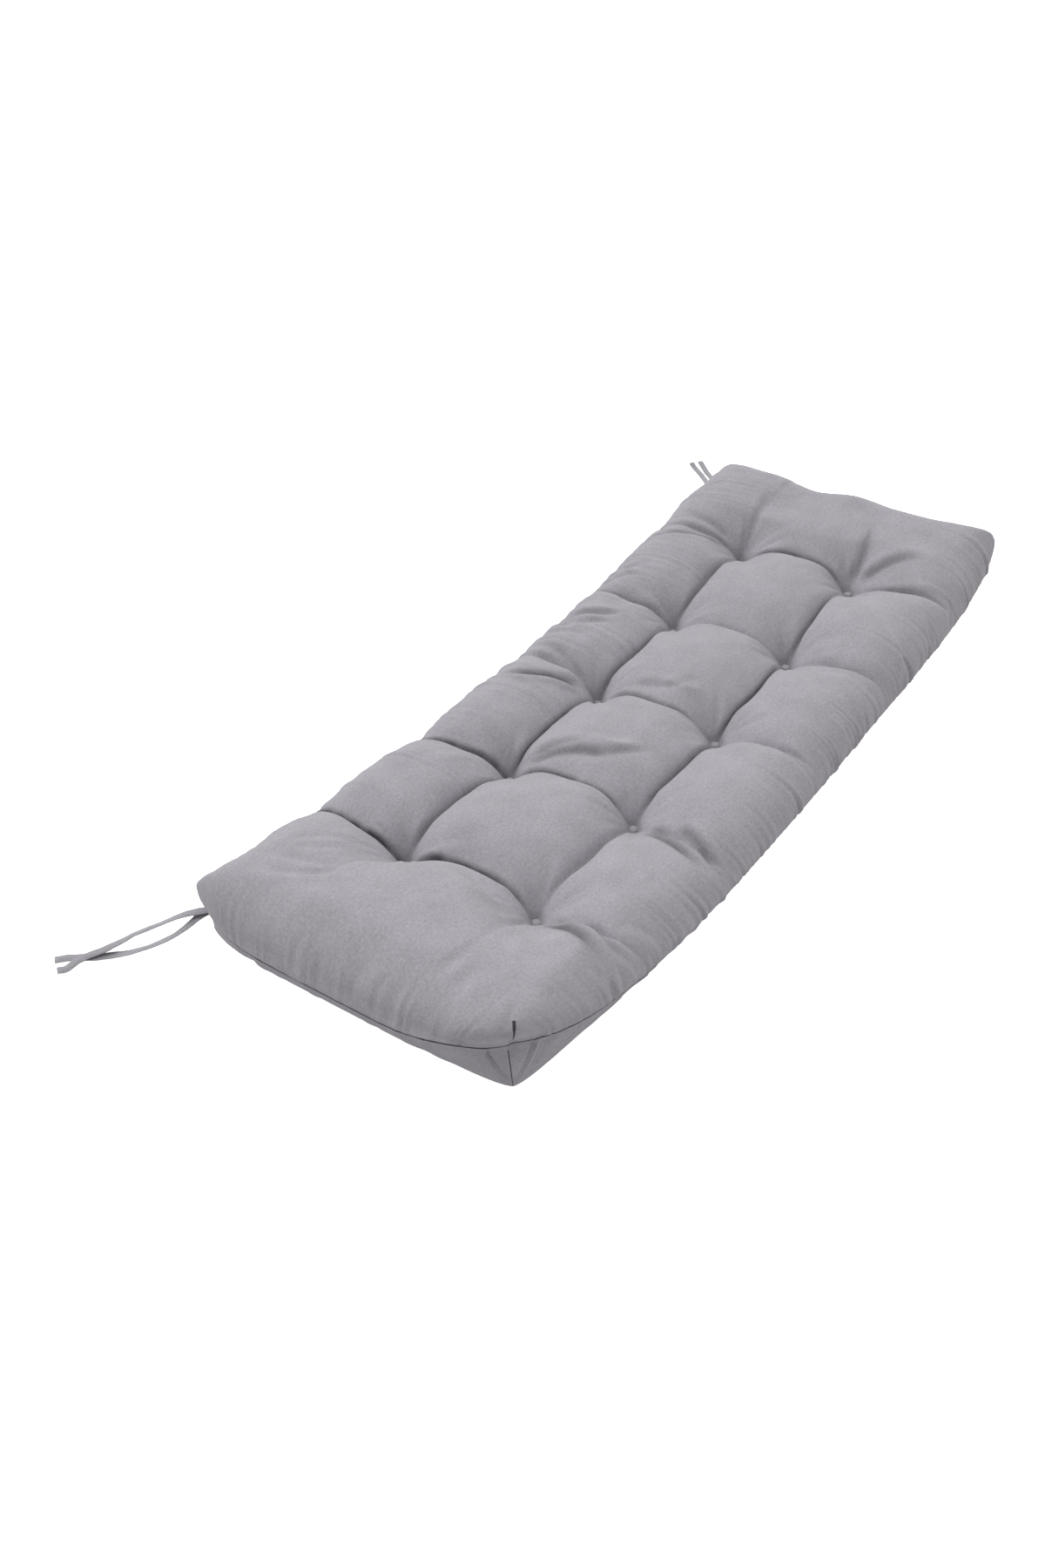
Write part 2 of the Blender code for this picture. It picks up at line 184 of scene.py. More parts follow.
# Each corner: how far it is drawn in, how far its seam rises, the power of its ridge's rounding, how
# much sooner the cloth rises there, the cloth along its sewn dart, and how much wider the dart's
# dark line is painted where its end gapes, as painted shade of the gap
CORNERS = (
    Corner(end=-1, side=-1, pull_x=0.045, pull_y=0.046, lift=0.016, crisp=5, box=0.0, dart=0.053, slit=0.50),
    Corner(end=-1, side=+1, pull_x=0.0285, pull_y=0.019, lift=0.0, crisp=14, box=0.3, dart=0.034, slit=0.0),
    Corner(end=+1, side=-1, pull_x=0.007, pull_y=0.014, lift=0.0, crisp=16, box=0.4, dart=0.034, slit=0.0),
    Corner(end=+1, side=+1, pull_x=0.0135, pull_y=0.0215, lift=0.0, crisp=7, box=0.1, dart=0.034, slit=0.0),
)
BOX_REACH = 0.11            # cloth from both seams over which a corner rises sooner
SLIT_FROM = 0.70            # share of a dart's length where its painted line begins to widen for the gaping end
SLIT_SPAN = 0.15
PAST_DART = 9.0             # stored for points off the corners, as a share of a dart's length

Crest = namedtuple("Crest", "across rise")
# How far the far end's roll stands over or under its even line, across from the front
FAR_CRESTS = (
    Crest(across=-0.233, rise=-0.014),
    Crest(across=-0.184, rise=-0.004),
    Crest(across=-0.092, rise=-0.003),
    Crest(across=-0.021, rise=0.0025),
    Crest(across=0.047, rise=-0.008),
    Crest(across=0.121, rise=0.004),
    Crest(across=0.225, rise=0.000),
)

Edge = namedtuple("Edge", "along front back")
# How far the front and the back seam lie from the middle line, along the cushion
EDGES = (
    Edge(along=-0.604, front=0.205, back=0.221),
    Edge(along=-0.450, front=0.209, back=0.218),
    Edge(along=-0.300, front=0.215, back=0.212),
    Edge(along=-0.150, front=0.218, back=0.211),
    Edge(along=0.000, front=0.221, back=0.213),
    Edge(along=0.150, front=0.224, back=0.215),
    Edge(along=0.300, front=0.230, back=0.218),
    Edge(along=0.450, front=0.234, back=0.222),
    Edge(along=0.604, front=0.233, back=0.225),
)

# Fill of each pillow over or under the crown, near end first
PILLOWS = (
    Stretches(front=0.001, middle=0.003, back=-0.003),
    Stretches(front=-0.002, middle=0.002, back=0.001),
    Stretches(front=0.001, middle=-0.001, back=0.002),
    Stretches(front=-0.001, middle=0.002, back=-0.001),
    Stretches(front=0.002, middle=-0.002, back=0.001),
    Stretches(front=-0.004, middle=-0.005, back=0.001),
)

Row = namedtuple("Row", "back_bow back_lean middle_bow front_bow front_lean")
# How far each row of creases lies off its straight line, in metres along X, near end first: in the
# middle of each stretch, and where the back and front ones run out at the side seams
ROW_LINES = (
    Row(back_bow=-0.004, back_lean=0.004, middle_bow=0.008, front_bow=-0.008, front_lean=-0.012),
    Row(back_bow=-0.002, back_lean=-0.024, middle_bow=0.008, front_bow=-0.010, front_lean=-0.045),
    Row(back_bow=0.002, back_lean=-0.004, middle_bow=-0.005, front_bow=-0.006, front_lean=-0.012),
    Row(back_bow=-0.006, back_lean=-0.012, middle_bow=-0.005, front_bow=-0.008, front_lean=-0.012),
    Row(back_bow=-0.002, back_lean=-0.012, middle_bow=0.011, front_bow=-0.004, front_lean=0.002),
)
Depth = namedtuple("Depth", "back_end back middle front front_end")
# Depth of each row's creases at the back seam, along the three stretches, and at the front seam
ROW_DEPTHS = (
    Depth(back_end=0.024, back=0.036, middle=0.034, front=0.020, front_end=0.010),
    Depth(back_end=0.020, back=0.034, middle=0.030, front=0.020, front_end=0.012),
    Depth(back_end=0.010, back=0.020, middle=0.020, front=0.021, front_end=0.010),
    Depth(back_end=0.012, back=0.024, middle=0.020, front=0.022, front_end=0.010),
    Depth(back_end=0.008, back=0.018, middle=0.030, front=0.024, front_end=0.014),
)
# How tightly the two sides of those creases are pressed together, from 0 to 1
ROW_PINCH = (
    Depth(back_end=1.0, back=1.0, middle=1.0, front=0.2, front_end=0.1),
    Depth(back_end=0.9, back=0.9, middle=1.0, front=0.2, front_end=0.2),
    Depth(back_end=0.3, back=0.6, middle=0.8, front=0.5, front_end=0.4),
    Depth(back_end=0.3, back=0.7, middle=0.5, front=0.6, front_end=0.4),
    Depth(back_end=0.2, back=0.4, middle=1.0, front=0.6, front_end=0.5),
)
Column = namedtuple("Column", "side near first second third fourth far")
# Depth of each column's creases: past the near tuft, in the four gaps, and past the far tuft
COLUMN_DEPTHS = (
    Column(side=+1, near=0.022, first=0.030, second=0.035, third=0.030, fourth=0.028, far=0.005),
    Column(side=-1, near=0.012, first=0.028, second=0.033, third=0.032, fourth=0.029, far=0.008),
)
# How tightly their sides are pressed together
COLUMN_PINCH = (
    Column(side=+1, near=0.3, first=0.6, second=1.0, third=0.7, fourth=0.6, far=0.3),
    Column(side=-1, near=0.0, first=0.3, second=0.8, third=1.0, fourth=0.7, far=0.4),
)
# How far each column lies off its straight line in the same places, in metres along Y
COLUMN_LINES = (
    Column(side=+1, near=0.008, first=0.005, second=0.004, third=-0.004, fourth=0.004, far=0.004),
    Column(side=-1, near=-0.006, first=-0.003, second=-0.004, third=-0.006, fourth=0.002, far=0.012),
)

# Tie strips: their lengths, and routes from the corner seam down to the floor and along it
TIE_WIDTH = 0.010
TIE_THICKNESS = 0.0016
TIE_STATIONS = 150
TIE_CLOSING = 0.002         # length over which a tie's end thins
TIE_END = 0.35              # to this share of its thickness
TIE_UNEVEN = 0.04
# Upper half of a tie's section, across and above its middle, in its width and thickness
TIE_SECTION = (
    (-0.5, 0.0), (-0.485, 0.30), (-0.44, 0.44), (-0.37, 0.46), (-0.33, 0.20), (-0.29, 0.46),
    (-0.1, 0.50), (0.15, 0.50), (0.36, 0.48), (0.46, 0.36), (0.49, 0.20), (0.5, 0.0),
)
Tie = namedtuple("Tie", "name length route")
TIES = (
    Tie("tie_near_upper", 0.211, (
        (-0.5743, 0.2052, 0.0838),
        (-0.5783, 0.2090, 0.0836), (-0.5860, 0.2163, 0.0833), (-0.5920, 0.2263, 0.0795),
        (-0.5960, 0.2383, 0.0715), (-0.5990, 0.2523, 0.0605), (-0.6010, 0.2673, 0.0485),
        (-0.6040, 0.2813, 0.0380), (-0.6070, 0.2953, 0.0270), (-0.6120, 0.3063, 0.0175),
        (-0.6190, 0.3163, 0.0105), (-0.6270, 0.3233, 0.0065), (-0.6350, 0.3293, 0.0046),
        (-0.6420, 0.3333, 0.0039), (-0.6520, 0.3373, 0.0035), (-0.6590, 0.3383, 0.0025),
        (-0.6670, 0.3403, 0.0012), (-0.6740, 0.3453, 0.0022))),
    Tie("tie_near_lower", 0.213, (
        (-0.5746, 0.2049, 0.0812),
        (-0.5786, 0.2087, 0.0808), (-0.5870, 0.2123, 0.0790), (-0.5950, 0.2163, 0.0740),
        (-0.6020, 0.2233, 0.0665), (-0.6080, 0.2343, 0.0560), (-0.6130, 0.2483, 0.0450),
        (-0.6160, 0.2613, 0.0350), (-0.6170, 0.2743, 0.0250), (-0.6190, 0.2873, 0.0160),
        (-0.6210, 0.2993, 0.0085), (-0.6240, 0.3093, 0.0040), (-0.6300, 0.3193, 0.0016),
        (-0.6370, 0.3273, 0.0011), (-0.6430, 0.3363, 0.0011), (-0.6480, 0.3433, 0.0011),
        (-0.6540, 0.3513, 0.0011), (-0.6640, 0.3603, 0.0012))),
    Tie("tie_far_upper", 0.287, (
        (0.5903, 0.2072, 0.0850),
        (0.5933, 0.2099, 0.0850), (0.6040, 0.2193, 0.0845), (0.6180, 0.2293, 0.0790),
        (0.6320, 0.2383, 0.0710), (0.6470, 0.2483, 0.0610), (0.6620, 0.2583, 0.0500),
        (0.6770, 0.2693, 0.0390), (0.6920, 0.2793, 0.0290), (0.7070, 0.2903, 0.0200),
        (0.7230, 0.2993, 0.0125), (0.7380, 0.3093, 0.0075), (0.7520, 0.3203, 0.0042),
        (0.7670, 0.3333, 0.0020), (0.7810, 0.3483, 0.0018), (0.7910, 0.3623, 0.0035),
        (0.7970, 0.3723, 0.0080))),
    Tie("tie_far_lower", 0.294, (
        (0.5904, 0.2070, 0.0824),
        (0.5934, 0.2097, 0.0822), (0.6060, 0.2163, 0.0805), (0.6210, 0.2223, 0.0765),
        (0.6380, 0.2283, 0.0690), (0.6550, 0.2353, 0.0590), (0.6720, 0.2433, 0.0480),
        (0.6890, 0.2533, 0.0370), (0.7060, 0.2643, 0.0270), (0.7230, 0.2763, 0.0180),
        (0.7400, 0.2903, 0.0110), (0.7570, 0.3053, 0.0055), (0.7750, 0.3223, 0.0022),
        (0.7880, 0.3363, 0.0016), (0.8000, 0.3483, 0.0026), (0.8135, 0.3640, 0.0065))),
)

# Buttons
BUTTON_SIDES = 40
BUTTON_SINK = (0.0034, 0.0020)    # how far the cloth closes over the back and the front buttons
BUTTON_RINGS = 22
BUTTON_PUCKERS = 9
BUTTON_RIPPLE = 0.035       # height of the gathers on its side, against its radius
# Profile from the middle of the underside to the crown, in its radius and its height
BUTTON_PROFILE = (
    (0.02, 0.0), (0.55, 0.0), (0.86, 0.02), (0.99, 0.16), (1.0, 0.32), (0.95, 0.52),
    (0.84, 0.70), (0.66, 0.85), (0.44, 0.95), (0.22, 0.99), (0.02, 1.0),
)

Fold = namedtuple("Fold", "depth width route")
# Folds of the top cloth, placed as they lie in the photograph: depth, half width, and the
# route in plan, from the deep end. A negative depth is a ridge.
FOLDS = (
    # Back pillow at the near end
    Fold(0.0022, 0.005, ((-0.488, 0.098), (-0.503, 0.124), (-0.512, 0.152), (-0.522, 0.186))),
    Fold(0.0026, 0.006, ((-0.492, 0.094), (-0.518, 0.112), (-0.536, 0.141), (-0.548, 0.175))),
    Fold(0.0016, 0.005, ((-0.440, 0.127), (-0.460, 0.148), (-0.479, 0.166), (-0.490, 0.190))),
    Fold(0.0012, 0.005, ((-0.452, 0.115), (-0.478, 0.136), (-0.496, 0.165))),
    # Near end roll and its flank
    Fold(0.0012, 0.004, ((-0.610, 0.078), (-0.605, 0.072), (-0.597, 0.071), (-0.585, 0.075))),
    Fold(0.0010, 0.004, ((-0.608, 0.040), (-0.600, 0.041), (-0.585, 0.044))),
    Fold(0.0009, 0.005, ((-0.609, 0.001), (-0.600, -0.002), (-0.580, -0.006))),
    Fold(0.0010, 0.004, ((-0.609, -0.027), (-0.598, -0.028), (-0.580, -0.034))),
    Fold(-0.0014, 0.008, ((-0.450, -0.100), (-0.500, -0.118), (-0.530, -0.132), (-0.562, -0.155))),
    Fold(0.0012, 0.005, ((-0.590, -0.150), (-0.577, -0.134), (-0.562, -0.118))),
    Fold(0.0012, 0.004, ((-0.584, -0.164), (-0.566, -0.158), (-0.548, -0.160))),
    # Fans at the back tufts
    Fold(0.0075, 0.006, ((-0.012, 0.104), (-0.035, 0.135), (-0.052, 0.160), (-0.072, 0.198))),
    Fold(0.0038, 0.006, ((0.004, 0.105), (0.012, 0.135), (0.022, 0.170), (0.025, 0.208))),
    Fold(0.0030, 0.005, ((0.050, 0.210), (0.064, 0.165), (0.060, 0.130))),
    Fold(0.0030, 0.005, ((0.083, 0.210), (0.096, 0.165), (0.114, 0.125))),
    Fold(0.0026, 0.004, ((0.105, 0.210), (0.121, 0.165), (0.132, 0.130))),
    Fold(0.0040, 0.005, ((0.085, 0.208), (0.113, 0.182), (0.122, 0.155), (0.145, 0.125))),
    Fold(0.0026, 0.004, ((0.070, 0.195), (0.098, 0.155), (0.114, 0.128))),
    Fold(0.0034, 0.005, ((0.205, 0.212), (0.225, 0.190), (0.237, 0.160))),
    Fold(0.0028, 0.005, ((0.222, 0.212), (0.250, 0.185), (0.266, 0.155))),
    Fold(0.0050, 0.007, (
        (0.397, 0.104), (0.384, 0.132), (0.366, 0.170), (0.346, 0.196), (0.322, 0.212))),
    Fold(0.0036, 0.006, ((0.408, 0.106), (0.413, 0.137), (0.417, 0.170), (0.430, 0.215))),
    Fold(0.0026, 0.005, ((0.412, 0.091), (0.440, 0.093), (0.485, 0.098), (0.532, 0.102))),
    # Between the second and third rows
    Fold(0.0048, 0.006, (
        (-0.190, 0.072), (-0.175, 0.060), (-0.162, 0.038), (-0.150, 0.010), (-0.146, -0.025))),
    Fold(0.0040, 0.006, ((-0.178, 0.074), (-0.159, 0.056), (-0.141, 0.033), (-0.128, 0.000))),
    Fold(-0.0034, 0.007, ((-0.152, 0.042), (-0.129, 0.012), (-0.122, -0.016), (-0.098, -0.036))),
    Fold(0.0034, 0.006, ((-0.158, 0.018), (-0.140, -0.010), (-0.122, -0.030), (-0.096, -0.052))),
    # Between the third and fourth rows
    Fold(0.0030, 0.006, ((0.010, 0.050), (0.019, 0.018), (0.029, -0.004), (0.055, -0.026))),
    Fold(-0.0022, 0.006, ((0.026, 0.020), (0.033, -0.013), (0.042, -0.045))),
    # Fans at the front tufts
    Fold(0.0040, 0.006, ((0.412, -0.077), (0.440, -0.077), (0.465, -0.074), (0.510, -0.065))),
    Fold(0.0045, 0.007, (
        (0.412, -0.084), (0.424, -0.098), (0.441, -0.117), (0.456, -0.140), (0.460, -0.168))),
    Fold(0.0034, 0.006, ((0.388, -0.118), (0.395, -0.150), (0.402, -0.182), (0.405, -0.220))),
    Fold(0.0020, 0.006, ((0.165, -0.125), (0.171, -0.165), (0.178, -0.205))),
    Fold(0.0026, 0.005, ((-0.008, -0.160), (-0.016, -0.190), (-0.019, -0.216))),
    Fold(0.0062, 0.006, (
        (-0.206, -0.096), (-0.224, -0.122), (-0.238, -0.147), (-0.250, -0.172), (-0.262, -0.202))),
    Fold(0.0050, 0.005, ((-0.210, -0.136), (-0.222, -0.160), (-0.234, -0.186), (-0.247, -0.212))),
    Fold(0.0064, 0.006, (
        (-0.405, -0.090), (-0.416, -0.112), (-0.426, -0.136), (-0.440, -0.162), (-0.450, -0.188))),
    Fold(0.0042, 0.005, ((-0.408, -0.134), (-0.415, -0.160), (-0.424, -0.184), (-0.428, -0.200))),
    Fold(0.0016, 0.006, ((-0.361, -0.208), (-0.379, -0.192), (-0.392, -0.165))),
    # Puckers at the front seam
    Fold(0.0024, 0.005, ((0.236, -0.224), (0.259, -0.216), (0.274, -0.203), (0.283, -0.188))),
    Fold(0.0022, 0.004, ((0.324, -0.225), (0.336, -0.220), (0.350, -0.212), (0.358, -0.200))),
    Fold(0.0022, 0.004, ((0.391, -0.229), (0.402, -0.224), (0.414, -0.216), (0.420, -0.205))),
    Fold(0.0018, 0.004, ((0.130, -0.221), (0.134, -0.214), (0.140, -0.204))),
    Fold(0.0018, 0.004, ((0.077, -0.218), (0.082, -0.210), (0.090, -0.200))),
    Fold(0.0018, 0.004, ((-0.437, -0.206), (-0.436, -0.199), (-0.434, -0.188))),
    Fold(0.0016, 0.004, ((-0.452, -0.203), (-0.451, -0.196), (-0.450, -0.186))),
)

Gather = namedtuple("Gather", "edge seed spacing depth reach share")
# Puckers along each seam; the share is their strength at the seam's start, middle and end
GATHERS = (
    Gather(edge="back", seed=11, spacing=0.0140, depth=0.0024, reach=0.075, share=(0.25, 1.0, 1.2)),
    Gather(edge="back", seed=14, spacing=0.0220, depth=0.0018, reach=0.090, share=(0.20, 1.0, 1.0)),
    Gather(edge="front", seed=21, spacing=0.0115, depth=0.0019, reach=0.034, share=(0.50, 0.9, 1.2)),
    Gather(edge="front", seed=26, spacing=0.0085, depth=0.0012, reach=0.026, share=(0.50, 0.9, 1.3)),
    Gather(edge="front", seed=24, spacing=0.0200, depth=0.0013, reach=0.055, share=(0.40, 0.8, 1.0)),
    Gather(edge="near", seed=31, spacing=0.0180, depth=0.0012, reach=0.045, share=(0.9, 0.7, 1.0)),
    Gather(edge="far", seed=35, spacing=0.0170, depth=0.0010, reach=0.040, share=(0.8, 0.9, 0.8)),
)
# The same on the under panel, at its corners and along the front
UNDER_GATHERS = (
    Gather(edge="front", seed=63, spacing=0.0330, depth=0.0024, reach=0.060, share=(1.0, 0.8, 0.8)),
    Gather(edge="near", seed=66, spacing=0.0360, depth=0.0020, reach=0.060, share=(1.0, 0.7, 1.0)),
    Gather(edge="back", seed=68, spacing=0.0340, depth=0.0020, reach=0.060, share=(0.9, 0.8, 0.8)),
    Gather(edge="far", seed=70, spacing=0.0350, depth=0.0018, reach=0.060, share=(0.9, 0.8, 0.9)),
)

# How the gathers, the folds, the drag lines and the lumps are shaped
UNDER_GATHER_END = 0.068    # cloth from the seam where the underside's gathers have faded
UNDER_GATHER_FADE = 0.03    # and over which they do
GATHER_FROM = 0.005         # their strength rises over this, off the seam
GATHER_ENDS = 0.05          # and over this from each corner
GATHER_LEAN = 14
GATHER_DRIFT = 2.6
LEAN_WAVES = (0.3, 3)       # longest wave and number of waves in the lines that vary them
DRIFT_WAVES = (0.16, 5)
STRENGTH_WAVES = (0.20, 7)
FOLD_CLEAR = 0.012          # cloth from the seams over which folds and lumps rise
LUMP_CLEAR = 0.03
FOLD_PIECES = 16
FOLD_RISE = 0.2             # shares of a fold's route over which it swells and runs out
FOLD_FALL = 0.45
RIDGE_SHARE = 0.45          # height of the ridge beside a fold, against the fold's depth
RIDGE_OFF = 2.0             # how far off it lies and its half width, in the fold's widths
RIDGE_WIDTH = 1.2
FOLD_SHADE = 0.7            # painted shade of the folds in their depth
SHADE_FROM = 0.0030         # where they are deeper than this
SHADE_SPAN = 0.0040         # and fully so this much deeper
SHADE_REACH = 1.3           # reach of that painted shade across a fold, in its widths
DRAG_DEPTH = 0.0007         # depth of the drag lines round each tuft
DRAG_FROM = 0.020           # where they begin, and how far on they fade
DRAG_REACH = 0.050
DRAG_COUNTS = (9, 13, 18)   # how many of them go round a tuft, in three sets
DRAG_LEAN = 25
DRAG_SEED = 57
LUMP_SHARE = 0.0026         # height of the uneven fill's waves, against their length
LUMP_SIZES = np.geomspace(0.16, 0.035, 14)
LUMP_SEED = 41


def smooth_route(route, count):
    """Even stations along a curve that passes smoothly through the route's points."""
    knots = np.array(route, dtype=float)
    knots = np.vstack([2 * knots[0] - knots[1], knots, 2 * knots[-1] - knots[-2]])
    t = np.linspace(0, 1, 12, endpoint=False)[:, None]
    fine = []
    for a, b, c, d in zip(knots[:-3], knots[1:-2], knots[2:-1], knots[3:]):
        bend = 2 * a - 5 * b + 4 * c - d
        fine.append(0.5 * (2 * b + (c - a) * t + bend * t ** 2 + (3 * b - a - 3 * c + d) * t ** 3))
    fine = np.vstack(fine + [knots[-2:-1]])
    run = np.concatenate([[0], np.cumsum(np.linalg.norm(np.diff(fine, axis=0), axis=1))])
    even = np.linspace(0, run[-1], count)
    return np.stack([np.interp(even, run, fine[:, k]) for k in range(fine.shape[1])], axis=-1)


# Camera, lights and floor

def add_camera():
    """The camera that took the photograph, from its place and its three angles."""
    pitch, yaw, roll = np.radians((CAMERA_PITCH, CAMERA_YAW, CAMERA_ROLL))
    forward = Vector((np.cos(pitch) * np.sin(yaw), np.cos(pitch) * np.cos(yaw), -np.sin(pitch)))
    right = Vector((np.cos(yaw), -np.sin(yaw), 0.0))
    up = right.cross(forward)
    right, up = right * np.cos(roll) + up * np.sin(roll), up * np.cos(roll) - right * np.sin(roll)
    data = bpy.data.cameras.new("camera")
    data.sensor_fit = "AUTO"
    data.sensor_width = SENSOR
    data.lens = FOCAL_PIXELS * SENSOR / max(IMAGE_SIZE)
    data.clip_end = 60.0
    camera = bpy.data.objects.new("camera", data)
    turn = Matrix((right, up, -forward)).transposed().to_4x4()
    camera.matrix_world = Matrix.Translation(CAMERA_PLACE) @ turn
    bpy.context.collection.objects.link(camera)
    bpy.context.scene.camera = camera


def add_lights():
    """A broad soft light from behind the cushion, a weaker fill, and even white light all round."""
    world = bpy.data.worlds.new("studio")
    world.use_nodes = True
    tree = world.node_tree
    back = tree.nodes["Background"]
    back.inputs["Color"].default_value = (1.0, 1.0, 1.0, 1.0)
    seen = tree.nodes.new("ShaderNodeLightPath").outputs["Is Camera Ray"]
    glow = calc(tree, "MULTIPLY_ADD", seen, 1 - ROUND_LIGHT, ROUND_LIGHT)
    tree.links.new(glow, back.inputs["Strength"])
    bpy.context.scene.world = world
    for name, strength, place in (("key", KEY_STRENGTH, KEY_FROM), ("fill", FILL_STRENGTH, FILL_FROM)):
        data = bpy.data.lights.new(name, "SUN")
        data.energy = strength
        data.angle = np.radians(LAMP_SOFTNESS)
        data.color = LAMP_COLOUR
        lamp = bpy.data.objects.new(name, data)
        lamp.rotation_euler = (-Vector(place)).to_track_quat("-Z", "Y").to_euler()
        bpy.context.collection.objects.link(lamp)
    bpy.context.scene.view_settings.view_transform = "Standard"


def add_floor():
    """A plain sheet of white paper, which the camera sees as a little brighter than it is lit."""
    mesh = bpy.data.meshes.new("floor")
    corners = [(-FLOOR_REACH, -FLOOR_REACH), (FLOOR_REACH, -FLOOR_REACH),
               (FLOOR_REACH, FLOOR_REACH), (-FLOOR_REACH, FLOOR_REACH)]
    mesh.from_pydata([(x, y, -FLOOR_GAP) for x, y in corners], [], [(0, 1, 2, 3)])
    floor = bpy.data.objects.new("floor", mesh)
    bpy.context.collection.objects.link(floor)
    paper = bpy.data.materials.new("floor_paper")
    paper.use_nodes = True
    tree = paper.node_tree
    shader = tree.nodes["Principled BSDF"]
    shader.inputs["Base Color"].default_value = (FLOOR_SHADE, FLOOR_SHADE, FLOOR_SHADE, 1)
    shader.inputs["Roughness"].default_value = 0.9
    shader.inputs["Specular IOR Level"].default_value = 0.1
    shader.inputs["Emission Color"].default_value = (1, 1, 1, 1)
    seen = tree.nodes.new("ShaderNodeLightPath").outputs["Is Camera Ray"]
    tree.links.new(calc(tree, "MULTIPLY", seen, PAPER_LIFT), shader.inputs["Emission Strength"])
    mesh.materials.append(paper)


# The cushion's panels

def cloth_lines(half_size, first_tuft, edge_cells, gaps, gap_cells):
    """Distances of the grid lines along the cloth, from one seam to the other.

    The tufts' rows and columns fall on lines, with even cells between them and to the seams.
    """
    tuft_cloth = FLANK_CLOTH + (half_size - first_tuft) - TOP_ROUND
    total = 2 * (tuft_cloth + first_tuft)
    edge = np.linspace(0, tuft_cloth, edge_cells + 1)
    middle = np.linspace(tuft_cloth, total - tuft_cloth, gaps * gap_cells + 1)
    return np.concatenate([edge[:-1], middle, total - edge[-2::-1]]), tuft_cloth, total


def inset(cloth, tuft_cloth, tuft_inset, reach):
    """Distance in from the seam line: the flank, then straight to the tuft, and past the tuft as
    far as along the cloth. The top's flank is a quarter round, and the underside's a slant."""
    flank = np.clip(cloth / FLANK_CLOTH, 0, 1)
    share = 1 - np.cos(flank * np.pi / 2) if reach == TOP_ROUND else flank
    slope = (tuft_inset - reach) / (tuft_cloth - FLANK_CLOTH)
    run = slope * np.clip(cloth - FLANK_CLOTH, 0, tuft_cloth - FLANK_CLOTH)
    return reach * share + run + np.maximum(cloth - tuft_cloth, 0)


def flat_place(lines, tuft_cloth, total, half_size, first_tuft, reach):
    """Signed place of each grid line before the corners are drawn in."""
    near = np.minimum(lines, total - lines)
    side = np.where(lines < total / 2, -1.0, 1.0)
    return side * (half_size - inset(near, tuft_cloth, half_size - first_tuft, reach)), near


def edge_shares(x, y):
    """How far each point lies toward an end and toward a side: 0 in the middle, 1 at the seam."""
    return np.clip(np.abs(x) / HALF_LENGTH, 0, 1), np.clip(np.abs(y) / HALF_WIDTH, 0, 1)


def in_corner(x, y, corner):
    """True in the corner's own quarter of the cushion."""
    return (np.sign(x) == corner.end) & (np.sign(y) == corner.side)


def corner_pull(x, y, keep):
    """Draws the four corners in, each by its own amount and fading quickly along both edges."""
    along, across = edge_shares(x, y)
    shift_x = np.zeros_like(x)
    shift_y = np.zeros_like(y)
    for corner in CORNERS:
        here = in_corner(x, y, corner)
        shift_x -= here * corner.end * corner.pull_x * keep * across ** 5 * along ** 4
        shift_y -= here * corner.side * corner.pull_y * keep * along ** 9 * across ** 2
    return x + shift_x, y + shift_y


def corner_lift(x, y):
    """How far the seam rises toward each corner, fading along both edges."""
    along, across = edge_shares(x, y)
    rising = np.clip((across - 0.2) / 0.6, 0, 1)
    lift = np.zeros_like(x)
    for corner in CORNERS:
        here = in_corner(x, y, corner)
        lift += here * corner.lift * along ** 3 * rising * rising * (3 - 2 * rising)
    return lift


def edge_line(x, y):
    """Widens or narrows the side pillows so that the side seams follow the table of edges."""
    curve = smooth_route(EDGES, 80)
    front = np.interp(x, curve[:, 0], curve[:, 1])
    back = np.interp(x, curve[:, 0], curve[:, 2])
    beyond = np.maximum(np.abs(y) - TUFT_COLUMN, 0) / (HALF_WIDTH - TUFT_COLUMN)
    return y + np.sign(y) * beyond * (np.where(y < 0, front, back) - HALF_WIDTH)


def end_line(x):
    """Stretches the near end pillows past their last tufts."""
    beyond = np.maximum(-x - LAST_ROW, 0) / (HALF_LENGTH - LAST_ROW)
    return x - beyond * NEAR_END_STRETCH


def pillow_arch(distance, reach):
    """1 on a crease, falling to 0 over the reach, round on top and steep at the crease.

    It is a mix of a quarter of a circle and a parabola.
    """
    part = np.clip(distance / reach, 0, 1)
    rounded = 1 - np.sqrt(1 - (1 - part) ** 2)
    return 0.65 * rounded + 0.35 * (1 - part) ** 2


def row_shift(x_line, y_line):
    """Shift along X that bends the straight rows into their creases' lines.

    Each row's shift is a function of Y, a parabola between its tufts and an easing curve on to the
    side seams. Between two rows, and toward the ends, it is mixed evenly.
    """
    out = np.clip((np.abs(y_line) - TUFT_COLUMN) / (HALF_WIDTH - TUFT_COLUMN), 0, 1)
    inside = np.clip(1 - (y_line / TUFT_COLUMN) ** 2, 0, 1)
    shifts = [np.zeros_like(y_line)]
    for row in ROW_LINES:
        bow = np.where(y_line > 0, row.back_bow, row.front_bow)
        lean = np.where(y_line > 0, row.back_lean, row.front_lean)
        shifts.append(row.middle_bow * inside + bow * 4 * out * (1 - out) + lean * out ** 1.5)
    shifts.append(np.zeros_like(y_line))
    rows = ROW_PITCH * np.array(ROWS)
    places = np.concatenate([[-HALF_LENGTH], rows, [HALF_LENGTH]])
    share = np.stack([np.interp(x_line, places, one) for one in np.eye(len(places))], axis=-1)
    return share @ np.array(shifts)


def along_column(column, x_line):
    """A value given for each stretch of a column, read along X: level in the middle of each."""
    places = ROW_PITCH * np.array([-2.6, -1.5, -0.5, 0.5, 1.5, 2.6])
    return np.interp(x_line, places, column[1:])


